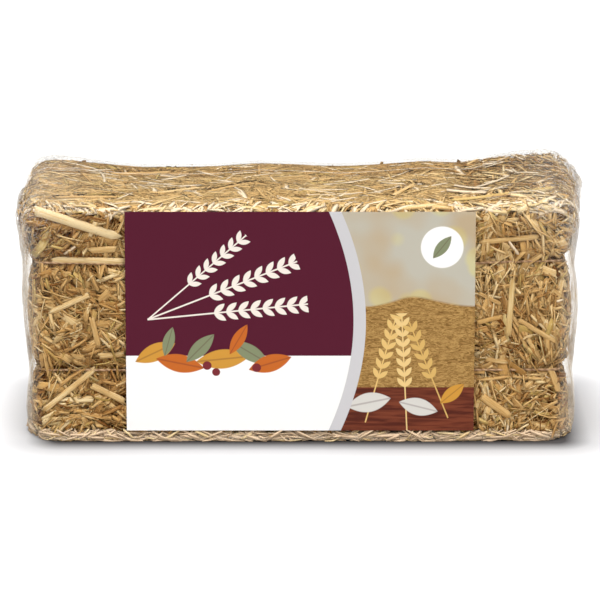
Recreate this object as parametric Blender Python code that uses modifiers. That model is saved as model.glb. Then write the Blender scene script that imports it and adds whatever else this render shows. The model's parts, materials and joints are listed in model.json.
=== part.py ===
"""Decorative bale of chopped straw: pressed block, two strings, loose stems, clear film and label.

X runs along the bale, the labelled front faces -Y and Z points up. Every length is in metres.
The bale stands on Z = 0, centred on the Z axis.
"""
import math
import random

import bmesh
import bpy
from mathutils import Vector, noise

# Outer size of the wrapped bale
LENGTH = 0.330
DEPTH = 0.127
HEIGHT = 0.152

# Rounded edges of the wrapped shape, along X, Y and Z, for its walls and foot and for its top
ROUND_WALL = (0.014, 0.013, 0.009)
ROUND_TOP = (0.010, 0.026, 0.008)
TOP_START = 0.5

# Small distances
GAP = 0.0003
FILM_THICKNESS = 0.00035
LABEL_THICKNESS = 0.0003
FILM_BULGE = 0.0013
FILM_WAIST = 0.0028

# Slow changes of the outline: a narrower foot, and a top that rises at four places along X,
# each given as its X, its rise and its reach; the rounded rear edge takes a little off the rises
FOOT_TAPER_LEFT = 0.0035
FOOT_TAPER_RIGHT = 0.0010
TOP_RISES = (
    (-0.140, 0.0045, 0.026),
    (-0.019, 0.0035, 0.026),
    (0.075, 0.0045, 0.028),
    (0.142, 0.0085, 0.026),
)
FRONT_RISE_SHARE = 0.6
REAR_LOSS = 0.0009

# Label on the front
LABEL_WIDTH = 0.205
LABEL_HEIGHT = 0.1325
LABEL_CENTRE_X = 0.0008
LABEL_FOOT = 0.0070

# Strings round the block
STRING_RADIUS = 0.0007
STRING_HEIGHTS = {"lower": 0.0425, "upper": 0.1065}
STRING_CLEARANCE = 0.0020
PINCH_FRONT = 0.0024
PINCH_END = 0.0080
PINCH_WIDTH = 0.0120

# Straw block under the film and the layer that the large stems lie in
BLOCK_INSET = 0.0042
BLOCK_LUMP = 0.0016
STEM_INSET = 0.0022
STEM_THICKNESS = 0.0022
STEM_SPACING = 0.0012
STEM_STATIONS = 7
STEM_END_SHARE = 0.6

# Vent holes in the film, two in each end
VENT_RADIUS = 0.0016
VENT_SIDES = 8
VENT_PLACES = ((-0.022, 0.126), (0.022, 0.075))

# Grid lines that the rounded box is cut along
CELLS_ALONG_X = 12
CELLS_ALONG_Y = 6
ROWS_BELOW_STRINGS = 3
ROWS_BETWEEN_STRINGS = 6
ROWS_ABOVE_STRINGS = 3
MID_ROUND = math.tan(math.radians(22.5))

# The wrapped shape before its slow changes: half sizes and centre
LABEL_STAND = LABEL_THICKNESS + GAP
BODY_TOP = HEIGHT - max(rise for _, rise, _ in TOP_RISES) + REAR_LOSS
HALF = Vector(((LENGTH - FILM_BULGE) / 2, (DEPTH - LABEL_STAND - FILM_BULGE) / 2, BODY_TOP / 2))
CENTRE = Vector((0.0, (LABEL_STAND - FILM_BULGE) / 2, BODY_TOP / 2))

# Large stems seen on the front: X and Z of both ends, and the width, on the front face
FRONT_STEMS = (
    (-0.148, 0.1350, -0.1095, 0.1240, 0.0062),
    (-0.143, 0.1075, -0.104, 0.1080, 0.0050),
    (-0.122, 0.1140, -0.108, 0.1155, 0.0046),
    (-0.146, 0.0777, -0.124, 0.0880, 0.0040),
    (-0.1225, 0.0740, -0.119, 0.0580, 0.0040),
    (-0.118, 0.0510, -0.1045, 0.0524, 0.0040),
    (-0.153, 0.0187, -0.122, 0.0430, 0.0040),
    (-0.123, 0.0330, -0.105, 0.0240, 0.0048),
    (0.1065, 0.0890, 0.1180, 0.0830, 0.0028),
    (0.1055, 0.0717, 0.1190, 0.0750, 0.0035),
    (0.1255, 0.0958, 0.1235, 0.0640, 0.0042),
    (0.1300, 0.0723, 0.1510, 0.0596, 0.0034),
    (0.1110, 0.0488, 0.1225, 0.0470, 0.0036),
    (0.1090, 0.0265, 0.1250, 0.0150, 0.0058),
    (0.1490, 0.0430, 0.1560, 0.0300, 0.0044),
    (0.1065, 0.1193, 0.1390, 0.1200, 0.0036),
)

# Large stems seen on the top: X and Y of both ends, and the width
TOP_STEMS = (
    (0.090, -0.051, 0.150, -0.030, 0.0032),
    (-0.084, -0.024, -0.060, -0.010, 0.0042),
    (-0.142, -0.045, -0.108, -0.037, 0.0034),
)

# Large stems on the faces that the front view hides, placed by chance
STEM_SEED = 11
HIDDEN_STEMS = {"back": 9, "top": 3, "left": 2, "right": 2}
HIDDEN_LENGTHS = (0.026, 0.052)
HIDDEN_WIDTHS = (0.0030, 0.0056)
END_LANES = (0.074, 0.1255, 0.0200)

# Colours (linear) with roughness and metallic value
STRAW_LOOK = ((0.430, 0.280, 0.120), 0.75, 0.0)
STEM_LOOK = ((0.640, 0.450, 0.210), 0.55, 0.0)
STRING_LOOK = ((0.600, 0.400, 0.330), 0.70, 0.0)
FILM_LOOK = ((0.900, 0.900, 0.890), 0.12, 0.0)
LABEL_LOOK = ((0.360, 0.060, 0.110), 0.40, 0.0)


def clear_scene():
    """Remove every object that the file starts with."""
    for item in list(bpy.data.objects):
        bpy.data.objects.remove(item, do_unlink=True)


def make_material(name, look):
    """Make a Principled material from a colour, a roughness and a metallic value."""
    colour, roughness, metallic = look
    material = bpy.data.materials.new(name)
    material.use_nodes = True
    shader = material.node_tree.nodes["Principled BSDF"]
    shader.inputs["Base Color"].default_value = (*colour, 1.0)
    shader.inputs["Roughness"].default_value = roughness
    shader.inputs["Metallic"].default_value = metallic
    material.diffuse_color = (*colour, 1.0)
    return material


def add_object(name, data, material, collection):
    """Link mesh or curve data to the collection as a named object."""
    item = bpy.data.objects.new(name, data)
    item.data.materials.append(material)
    collection.objects.link(item)
    return item


def mesh_from(bm, name):
    """Turn a bmesh into mesh data and free it."""
    mesh = bpy.data.meshes.new(name)
    bm.to_mesh(mesh)
    bm.free()
    return mesh


def rounding(cube_z):
    """Edge radii along X, Y and Z at a height on the cube, from the walls' to the top's."""
    share = max(0.0, min(1.0, (cube_z - TOP_START) / (1 - TOP_START)))
    return Vector(ROUND_WALL).lerp(Vector(ROUND_TOP), share * share * (3 - 2 * share))


def slow_change(point):
    """Narrow the foot and raise the top at its four rises, less at the front."""
    share = point.z / BODY_TOP
    foot = (1 - share) ** 2 * abs(point.x) / HALF.x
    taper = FOOT_TAPER_LEFT if point.x < 0 else -FOOT_TAPER_RIGHT
    rise = sum(up * math.exp(-((point.x - x) / reach) ** 2) for x, up, reach in TOP_RISES)
    rise *= FRONT_RISE_SHARE + (1 - FRONT_RISE_SHARE) * (point.y / HALF.y + 1) / 2
    return Vector((point.x + taper * foot, point.y, point.z + rise * share * share))


def waist(height):
    """Pull of the strings at this height, 1 beside a string and fading to 0 away from it."""
    return sum(math.exp(-((height - z) / PINCH_WIDTH) ** 2) for z in STRING_HEIGHTS.values())


def pinch(height, outward):
    """How far the strings press the straw in at this height, more on the ends than on the sides."""
    depth = PINCH_FRONT + (PINCH_END - PINCH_FRONT) * outward.x ** 2
    return depth * (1 - outward.z ** 2) * waist(height)


def box_point(cube):
    """Map a point of the cube of half size 1 to the rounded box: the place and the way out."""
    radii = rounding(cube.z)
    flat = Vector(cube[i] * HALF[i] for i in range(3))
    core = Vector(max(radii[i] - HALF[i], min(HALF[i] - radii[i], flat[i])) for i in range(3))
    outward = Vector((flat[i] - core[i]) / radii[i] for i in range(3)).normalized()
    return CENTRE + core + Vector(outward[i] * radii[i] for i in range(3)), outward


def film_point(cube):
    """A point of the film's outer face: flat at the label and the foot, softly bulged elsewhere."""
    place, outward = box_point(cube)
    free = max(0.0, 1 - max(0.0, -outward.y) - max(0.0, -outward.z))
    swell = FILM_BULGE * free * (0.5 + 0.5 * noise.noise(place * 26))
    return slow_change(place + outward * (swell - FILM_WAIST * outward.x ** 4 * waist(place.z)))


def block_point(cube, lift=0.0):
    """A point of the straw block's face, pinched by the strings, raised by lift."""
    place, outward = box_point(cube)
    lump = BLOCK_LUMP * (0.5 + 0.5 * noise.noise(place * 48 + Vector((3, 5, 8))))
    if lift:
        lump = 0.0
    inset = BLOCK_INSET + lump + pinch(place.z, outward) - lift
    return slow_change(place - outward * inset)


def layer_point(cube, inset):
    """A point at this depth below the rounded box, and the way out there."""
    place, outward = box_point(cube)
    return slow_change(place - outward * inset), outward


def grid_lines():
    """Places of the cuts along each axis of the cube, the box's edges left out."""
    lines = []
    for axis, cells in ((0, CELLS_ALONG_X), (1, CELLS_ALONG_Y)):
        flat = 1 - ROUND_WALL[axis] / HALF[axis]
        mid = flat + (1 - flat) * MID_ROUND
        inner = [flat * (2 * i / cells - 1) for i in range(cells + 1)]
        lines.append([-mid, *inner, mid])
    foot = ROUND_WALL[2] / HALF.z - 1
    head = 1 - ROUND_TOP[2] / HALF.z
    low = STRING_HEIGHTS["lower"] / HALF.z - 1
    high = STRING_HEIGHTS["upper"] / HALF.z - 1
    rows = [foot + (low - foot) * i / ROWS_BELOW_STRINGS for i in range(ROWS_BELOW_STRINGS)]
    rows += [low + (high - low) * i / ROWS_BETWEEN_STRINGS for i in range(ROWS_BETWEEN_STRINGS)]
    rows += [high + (head - high) * i / ROWS_ABOVE_STRINGS for i in range(ROWS_ABOVE_STRINGS + 1)]
    below = foot + (-1 - foot) * MID_ROUND
    above = head + (1 - head) * MID_ROUND
    lines.append([below, *rows, above])
    return lines


def cut_cube():
    """Make a cube of half size 1 with a grid of cuts across every face."""
    bm = bmesh.new()
    bmesh.ops.create_cube(bm, size=2)
    for axis, places in enumerate(grid_lines()):
        for place in places:
            middle = Vector((0, 0, 0))
            middle[axis] = place
            across = Vector((0, 0, 0))
            across[axis] = 1
            parts = bm.verts[:] + bm.edges[:] + bm.faces[:]
            bmesh.ops.bisect_plane(bm, geom=parts, dist=1e-7, plane_co=middle, plane_no=across)
    return bm


def add_block(material, collection):
    """Add the pressed straw block, lumpy and pinched at the strings."""
    bm = cut_cube()
    for vert in bm.verts:
        vert.co = block_point(vert.co.copy())
    bmesh.ops.triangulate(bm, faces=bm.faces[:])
    return add_object("straw_block", mesh_from(bm, "straw_block"), material, collection)


def open_vent(bm, side, place):
    """Open a round vent in the end face of the film that is nearest to the place (Y, Z)."""
    target = Vector((side * LENGTH / 2, *place))
    face = min(bm.faces, key=lambda item: (item.calc_center_median() - target).length)
    bmesh.ops.inset_individual(bm, faces=[face], thickness=VENT_RADIUS)
    corners = len(face.verts)
    bmesh.ops.subdivide_edges(bm, edges=face.edges[:], cuts=VENT_SIDES // corners - 1)
    middle = face.calc_center_median()
    for vert in face.verts:
        away = vert.co - middle
        away.x = 0
        vert.co = middle + away.normalized() * VENT_RADIUS
    bmesh.ops.delete(bm, geom=[face], context="FACES")


def add_film(material, collection):
    """Add the clear film as a thin shell that bridges the pinches, vented at both ends."""
    bm = cut_cube()
    for vert in bm.verts:
        vert.co = film_point(vert.co.copy())
    for side in (-1, 1):
        for place in VENT_PLACES:
            open_vent(bm, side, place)
    bmesh.ops.triangulate(bm, faces=bm.faces[:])
    film = add_object("film_wrap", mesh_from(bm, "film_wrap"), material, collection)
    shell = film.modifiers.new("film thickness", "SOLIDIFY")
    shell.thickness = FILM_THICKNESS
    shell.offset = -1.0
    shell.use_even_offset = True
    return film


def add_label(material, collection):
    """Add the flat label, just clear of the film's front."""
    bm = bmesh.new()
    bmesh.ops.create_cube(bm, size=1)
    bmesh.ops.scale(bm, verts=bm.verts, vec=(LABEL_WIDTH, LABEL_THICKNESS, LABEL_HEIGHT))
    label = add_object("label", mesh_from(bm, "label"), material, collection)
    front = (LABEL_THICKNESS - DEPTH) / 2
    label.location = (LABEL_CENTRE_X, front, LABEL_FOOT + LABEL_HEIGHT / 2)
    return label


def string_route(height):
    """Points of a loop round the block at this height, in order, just clear of the straw."""
    along, across, _ = grid_lines()
    level = height / HALF.z - 1
    front = [Vector((x, -1, level)) for x in (*along, 1)]
    right = [Vector((1, y, level)) for y in (*across, 1)]
    half_loop = front + right
    other_half = [Vector((-p.x, -p.y, p.z)) for p in half_loop]
    return [block_point(p, STRING_CLEARANCE) for p in half_loop + other_half]


def add_string(name, height, material, collection):
    """Add one closed string loop as a thin bevelled curve."""
    curve = bpy.data.curves.new(name, "CURVE")
    curve.dimensions = "3D"
    curve.bevel_depth = STRING_RADIUS
    curve.bevel_resolution = 1
    route = string_route(height)
    spline = curve.splines.new("POLY")
    spline.points.add(len(route) - 1)
    for point, place in zip(spline.points, route):
        point.co = (*place, 1.0)
    spline.use_cyclic_u = True
    return add_object(name, curve, material, collection)


def on_cube(face, first, second):
    """Turn real distances along a face into a point of the cube."""
    level = second / HALF.z - 1
    if face == "front":
        return Vector((first / HALF.x, -1, level))
    if face == "back":
        return Vector((first / HALF.x, 1, level))
    if face == "top":
        return Vector((first / HALF.x, second / HALF.y, 1))
    return Vector((1 if face == "right" else -1, first / HALF.y, level))


def stem_centres(face, ends):
    """Middle line of a stem as places with the way out, from both ends on a face."""
    a, b, c, d = ends
    steps = [i / (STEM_STATIONS - 1) for i in range(STEM_STATIONS)]
    cubes = [on_cube(face, a + (c - a) * t, b + (d - b) * t) for t in steps]
    return [layer_point(cube, STEM_INSET) for cube in cubes]


def hidden_stems(taken):
    """Choose places for stems on the hidden faces, clear of each other and of those taken."""
    chance = random.Random(STEM_SEED)
    chosen = []
    for face, count in HIDDEN_STEMS.items():
        found = 0
        while found < count:
            length = chance.uniform(*HIDDEN_LENGTHS)
            width = chance.uniform(*HIDDEN_WIDTHS)
            if face in ("left", "right"):
                turn = chance.uniform(-0.08, 0.08)
                first = chance.uniform(-0.012, 0.012)
                second = END_LANES[found]
            else:
                turn = chance.uniform(-1.2, 1.2)
                first = chance.uniform(-0.12, 0.12)
                second = chance.uniform(0.030, 0.115) if face == "back" else chance.uniform(-0.03, 0.03)
            run = Vector((math.cos(turn), math.sin(turn))) * length / 2
            ends = (first - run.x, second - run.y, first + run.x, second + run.y)
            places = [place for place, _ in stem_centres(face, ends)]
            if clear_of(places, width, taken):
                taken.append((places, width))
                chosen.append((face, ends, width))
                found += 1
    return chosen


def clear_of(places, width, taken):
    """Tell whether a stem keeps its distance from all the others."""
    for others, other_width in taken:
        reach = (width + other_width) / 2 + STEM_SPACING
        if any((a - b).length < reach for a in places for b in others):
            return False
    return True


def add_stem(name, face, ends, width, material, collection):
    """Add one flattened stem that follows the bale's surface below the film."""
    bm = bmesh.new()
    bmesh.ops.create_cone(bm, cap_ends=True, segments=6, radius1=1, radius2=1, depth=1)
    for i in range(1, STEM_STATIONS - 1):
        level = i / (STEM_STATIONS - 1) - 0.5
        parts = bm.verts[:] + bm.edges[:] + bm.faces[:]
        bmesh.ops.bisect_plane(bm, geom=parts, dist=1e-7, plane_co=(0, 0, level), plane_no=(0, 0, 1))
    centres = stem_centres(face, ends)
    run = (centres[-1][0] - centres[0][0]).normalized()
    for vert in bm.verts:
        station = round((vert.co.z + 0.5) * (STEM_STATIONS - 1))
        place, outward = centres[station]
        across = outward.cross(run).normalized()
        share = STEM_END_SHARE if station in (0, STEM_STATIONS - 1) else 1.0
        side = across * vert.co.x * width / 2 * share
        up = outward * vert.co.y * STEM_THICKNESS / 2 * share
        vert.co = place + side + up
    return add_object(name, mesh_from(bm, name), material, collection)


def add_stems(material, collection):
    """Add the large stems: those seen on the front and the top, then the hidden ones."""
    stems = [("front", row[:4], row[4]) for row in FRONT_STEMS]
    stems += [("top", row[:4], row[4]) for row in TOP_STEMS]
    taken = [([p for p, _ in stem_centres(face, ends)], width) for face, ends, width in stems]
    stems += hidden_stems(taken)
    for number, (face, ends, width) in enumerate(stems, start=1):
        add_stem(f"straw_stem_{number:02d}", face, ends, width, material, collection)


def main():
    """Build the bale from the block outwards."""
    clear_scene()
    collection = bpy.data.collections.new("straw_bale")
    bpy.context.scene.collection.children.link(collection)
    add_block(make_material("pressed_straw", STRAW_LOOK), collection)
    string_material = make_material("string_thread", STRING_LOOK)
    for name, height in STRING_HEIGHTS.items():
        add_string(f"binding_string_{name}", height, string_material, collection)
    add_stems(make_material("straw_stems", STEM_LOOK), collection)
    add_film(make_material("clear_film", FILM_LOOK), collection)
    add_label(make_material("printed_label", LABEL_LOOK), collection)


main()
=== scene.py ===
"""Looks of the straw bale, over its CAD frame.

Chopped straw is laid as joined meshes on the pressed block. The large stems are rebuilt in full
detail where their solids lie, and the clear film is remade as one crinkled skin. The block, the
strings and the label keep their solids and get their finish. Lengths are in metres, in the
frame's own coordinates: +X along the bale, -Y its labelled front.
"""
from __future__ import annotations

import json
import logging
import math
from dataclasses import astuple, dataclass, field
from enum import Enum

import bmesh
import bpy
import numpy as np
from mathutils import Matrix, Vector, noise
from mathutils.bvhtree import BVHTree

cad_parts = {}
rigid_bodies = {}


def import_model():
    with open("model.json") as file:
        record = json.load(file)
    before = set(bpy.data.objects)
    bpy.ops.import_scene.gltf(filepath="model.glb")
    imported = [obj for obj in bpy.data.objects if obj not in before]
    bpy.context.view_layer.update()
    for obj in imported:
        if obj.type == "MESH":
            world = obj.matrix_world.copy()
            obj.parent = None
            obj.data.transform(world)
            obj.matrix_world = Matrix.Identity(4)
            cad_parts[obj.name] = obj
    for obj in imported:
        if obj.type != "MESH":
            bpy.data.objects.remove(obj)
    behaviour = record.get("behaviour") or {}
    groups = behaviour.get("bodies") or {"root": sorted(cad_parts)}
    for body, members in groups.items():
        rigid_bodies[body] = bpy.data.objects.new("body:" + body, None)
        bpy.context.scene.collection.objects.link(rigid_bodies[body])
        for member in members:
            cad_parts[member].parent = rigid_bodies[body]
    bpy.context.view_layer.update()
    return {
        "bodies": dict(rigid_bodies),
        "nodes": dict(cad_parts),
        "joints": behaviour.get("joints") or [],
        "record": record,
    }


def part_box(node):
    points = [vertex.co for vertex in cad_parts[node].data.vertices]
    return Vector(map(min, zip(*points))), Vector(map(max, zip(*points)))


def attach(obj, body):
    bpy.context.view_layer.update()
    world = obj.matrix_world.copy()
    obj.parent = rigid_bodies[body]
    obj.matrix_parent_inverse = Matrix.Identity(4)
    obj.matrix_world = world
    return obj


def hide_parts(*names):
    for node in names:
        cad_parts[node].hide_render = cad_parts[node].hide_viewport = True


Array = np.ndarray
Chance = np.random.Generator
Node = bpy.types.Node
Socket = bpy.types.NodeSocket

LOG = logging.getLogger("straw_bale")
MM = 0.001
BODY = "root"
STRINGS = ("binding_string_lower", "binding_string_upper")

# Straw stays this far above the floor
LOWEST = 0.0002

# Hues that stand for a colour of their own: pinkish straw, and straw bleached white, which along the front
# top edge is painted highlight
ROSY = 2.0
BLEACHED_AND_HIGHLIGHT = 3.0


def mm(*values: float) -> tuple[float, ...]:
    """Turn millimetres into metres."""
    return tuple(value * MM for value in values)


def srgb(red: float, green: float, blue: float) -> tuple[float, float, float, float]:
    """Turn a screen colour into a linear one.

    Args:
        red: Red on the screen, 0 to 255.
        green: Green.
        blue: Blue.

    Returns:
        The linear colour, with alpha 1.
    """
    shares = [value / 255 for value in (red, green, blue)]
    linear = [s / 12.92 if s <= 0.04045 else ((s + 0.055) / 1.055) ** 2.4 for s in shares]
    return (*linear, 1.0)


class Nodes:
    """A short way to add and link shader nodes in one tree."""

    def __init__(self, tree: bpy.types.NodeTree) -> None:
        """Work in this tree."""
        self.tree = tree

    def add(self, kind: str, **settings) -> Node:
        """Add a node.

        Args:
            kind: The node's type, without the ShaderNode in front.
            settings: Properties of the node, by name.

        Returns:
            The new node.
        """
        node = self.tree.nodes.new("ShaderNode" + kind)
        for name, value in settings.items():
            setattr(node, name, value)
        return node

    def join(self, source: Socket, target: Socket) -> None:
        """Link an output socket to an input socket."""
        self.tree.links.new(source, target)

    def feed(self, socket: Socket, value: Socket | float | tuple) -> None:
        """Give an input its value.

        Args:
            socket: The input.
            value: A plain value, or the output that feeds it.
        """
        if isinstance(value, bpy.types.NodeSocket):
            self.join(value, socket)
        else:
            socket.default_value = value

    def math(self, operation: str, *values: Socket | float, clamp: bool = False) -> Socket:
        """Add a Math node.

        Args:
            operation: The node's operation.
            values: Its one to three inputs, numbers or sockets.
            clamp: Whether the result stays between 0 and 1.

        Returns:
            The result's socket.
        """
        node = self.add("Math", operation=operation, use_clamp=clamp)
        for socket, value in zip(node.inputs, values):
            self.feed(socket, value)
        return node.outputs[0]

    def mix(self, share: Socket | float, first: Socket | tuple, second: Socket | tuple) -> Socket:
        """Mix two colours.

        Args:
            share: How much of the second shows.
            first: The first colour.
            second: The second colour.

        Returns:
            The mixed colour's socket.
        """
        node = self.add("Mix", data_type="RGBA")
        self.feed(node.inputs["Factor"], share)
        self.feed(node.inputs["A"], first)
        self.feed(node.inputs["B"], second)
        return node.outputs["Result"]

    def ramp(self, value: Socket, stops: list[tuple[float, tuple]]) -> Socket:
        """Add a colour ramp.

        Args:
            value: The socket that drives it.
            stops: Places from 0 to 1, each with its colour.

        Returns:
            The colour's socket.
        """
        node = self.add("ValToRGB")
        elements = node.color_ramp.elements
        while len(elements) < len(stops):
            elements.new(0.5)
        for element, (place, colour) in zip(elements, stops):
            element.position = place
            element.color = colour
        self.join(value, node.inputs[0])
        return node.outputs[0]

    def span(
        self, value: Socket, low: float, high: float, start: float = 0.0, end: float = 1.0
    ) -> Socket:
        """Map a value from one range to another.

        Args:
            value: What is mapped.
            low: Where its range starts.
            high: Where its range ends.
            start: The result at low and before it.
            end: The result at high and past it.

        Returns:
            The result's socket.
        """
        node = self.add("MapRange")
        for name, item in (("Value", value), ("From Min", low), ("From Max", high)):
            self.feed(node.inputs[name], item)
        self.feed(node.inputs["To Min"], start)
        self.feed(node.inputs["To Max"], end)
        return node.outputs[0]

    def noise(
        self, where: Socket, scale: float, detail: float = 3.0, rough: float = 0.55, bend: float = 0.0
    ) -> Socket:
        """Add a noise texture.

        Args:
            where: The coordinates.
            scale: Its scale.
            detail: Its detail.
            rough: Its roughness.
            bend: Its distortion.

        Returns:
            Its value's socket.
        """
        node = self.add("TexNoise")
        self.join(where, node.inputs["Vector"])
        node.inputs["Scale"].default_value = scale
        node.inputs["Detail"].default_value = detail
        node.inputs["Roughness"].default_value = rough
        node.inputs["Distortion"].default_value = bend
        return node.outputs[0]

    def stretch(self, where: Socket, scale: tuple[float, float, float]) -> Socket:
        """Scale a vector along its axes.

        Args:
            where: The vector.
            scale: The scale along each axis.

        Returns:
            The scaled vector's socket.
        """
        node = self.add("Mapping")
        self.join(where, node.inputs["Vector"])
        node.inputs["Scale"].default_value = scale
        return node.outputs[0]

    def vector(self, operation: str, *values: Socket | tuple) -> Socket:
        """Add a Vector Math node.

        Args:
            operation: The node's operation.
            values: Its one or two vectors.

        Returns:
            The result's socket.
        """
        node = self.add("VectorMath", operation=operation)
        for socket, value in zip(node.inputs, values):
            self.feed(socket, value)
        return node.outputs["Value" if operation == "LENGTH" else "Vector"]

    def axes(self, where: Socket) -> bpy.types.NodeOutputs:
        """Split a vector.

        Args:
            where: The vector.

        Returns:
            Its X, Y and Z sockets, by name.
        """
        node = self.add("SeparateXYZ")
        self.join(where, node.inputs[0])
        return node.outputs

    def flat(self, x: Socket, y: Socket) -> Socket:
        """Make a vector with no Z.

        Args:
            x: The vector's X.
            y: The vector's Y.

        Returns:
            The vector's socket.
        """
        node = self.add("CombineXYZ")
        self.feed(node.inputs["X"], x)
        self.feed(node.inputs["Y"], y)
        return node.outputs[0]

    def place(self) -> Socket:
        """Return the socket of the object's own coordinates."""
        return self.add("TexCoord").outputs["Object"]

    def stored(self, name: str) -> Socket:
        """Return the socket of a value that is stored on the mesh."""
        return self.add("Attribute", attribute_name=name).outputs["Fac"]

    def bump(self, height: Socket, distance: float) -> Socket:
        """Add a Bump node.

        Args:
            height: The height's socket.
            distance: The height of a value of 1, in metres.

        Returns:
            The bumped normal's socket.
        """
        node = self.add("Bump")
        node.inputs["Distance"].default_value = distance
        self.join(height, node.inputs["Height"])
        return node.outputs[0]

    def use(self, group: bpy.types.NodeTree, **values: Socket | float) -> Node:
        """Add a node group.

        Args:
            group: The node group.
            values: What each of its inputs gets.

        Returns:
            The new node.
        """
        node = self.add("Group", node_tree=group)
        for name, value in values.items():
            self.feed(node.inputs[name], value)
        return node


def new_group(
    name: str, inputs: dict[str, str], outputs: dict[str, str]
) -> tuple[bpy.types.NodeTree, Nodes, Node, Node]:
    """Make a shader node group.

    Args:
        name: The group's name.
        inputs: Socket types by input name.
        outputs: Socket types by output name.

    Returns:
        The group, a node helper for it, and its input and output nodes.
    """
    group = bpy.data.node_groups.new(name, "ShaderNodeTree")
    for label, kind in inputs.items():
        group.interface.new_socket(label, in_out="INPUT", socket_type="NodeSocket" + kind)
    for label, kind in outputs.items():
        group.interface.new_socket(label, in_out="OUTPUT", socket_type="NodeSocket" + kind)
    nodes = Nodes(group)
    return group, nodes, group.nodes.new("NodeGroupInput"), group.nodes.new("NodeGroupOutput")


def new_material(name: str) -> tuple[bpy.types.Material, Nodes, Node]:
    """Make a material.

    Args:
        name: Its name.

    Returns:
        The material, a node helper for it, and its Principled node.
    """
    material = bpy.data.materials.new(name)
    material.use_nodes = True
    nodes = Nodes(material.node_tree)
    return material, nodes, material.node_tree.nodes["Principled BSDF"]


def set_finish(shader: Node, roughness: float, specular: float) -> None:
    """Set the roughness and the specular level of a Principled node."""
    shader.inputs["Roughness"].default_value = roughness
    shader.inputs["Specular IOR Level"].default_value = specular


@dataclass(frozen=True)
class Grain:
    """Grain of straw: lengthwise streaks, broader blotches and small specks."""

    streak_scale: tuple = (70.0, 1900.0, 1900.0)
    streak_span: tuple = (0.36, 0.66)
    blotch_scale: tuple = (60.0, 700.0, 700.0)
    blotch_span: tuple = (0.35, 0.68)
    speck_scale: float = 900.0
    speck_span: tuple = (0.66, 0.74)

    def build(self) -> bpy.types.NodeTree:
        """Make the node group.

        Returns:
            The group.
        """
        group, nodes, start, end = new_group(
            "straw grain",
            {"Where": "Vector"},
            {"Streaks": "Float", "Blotches": "Float", "Specks": "Float", "Height": "Float"},
        )
        where = start.outputs["Where"]
        streaks = nodes.noise(nodes.stretch(where, self.streak_scale), 1.0, 3.0, 0.6)
        broad = nodes.noise(nodes.stretch(where, self.blotch_scale), 1.0, 2.0, 0.5)
        specks = nodes.noise(where, self.speck_scale, 2.0, 0.6)
        nodes.join(nodes.span(streaks, *self.streak_span), end.inputs["Streaks"])
        nodes.join(nodes.span(broad, *self.blotch_span), end.inputs["Blotches"])
        nodes.join(nodes.span(specks, *self.speck_span), end.inputs["Specks"])
        nodes.join(streaks, end.inputs["Height"])
        return group


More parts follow.
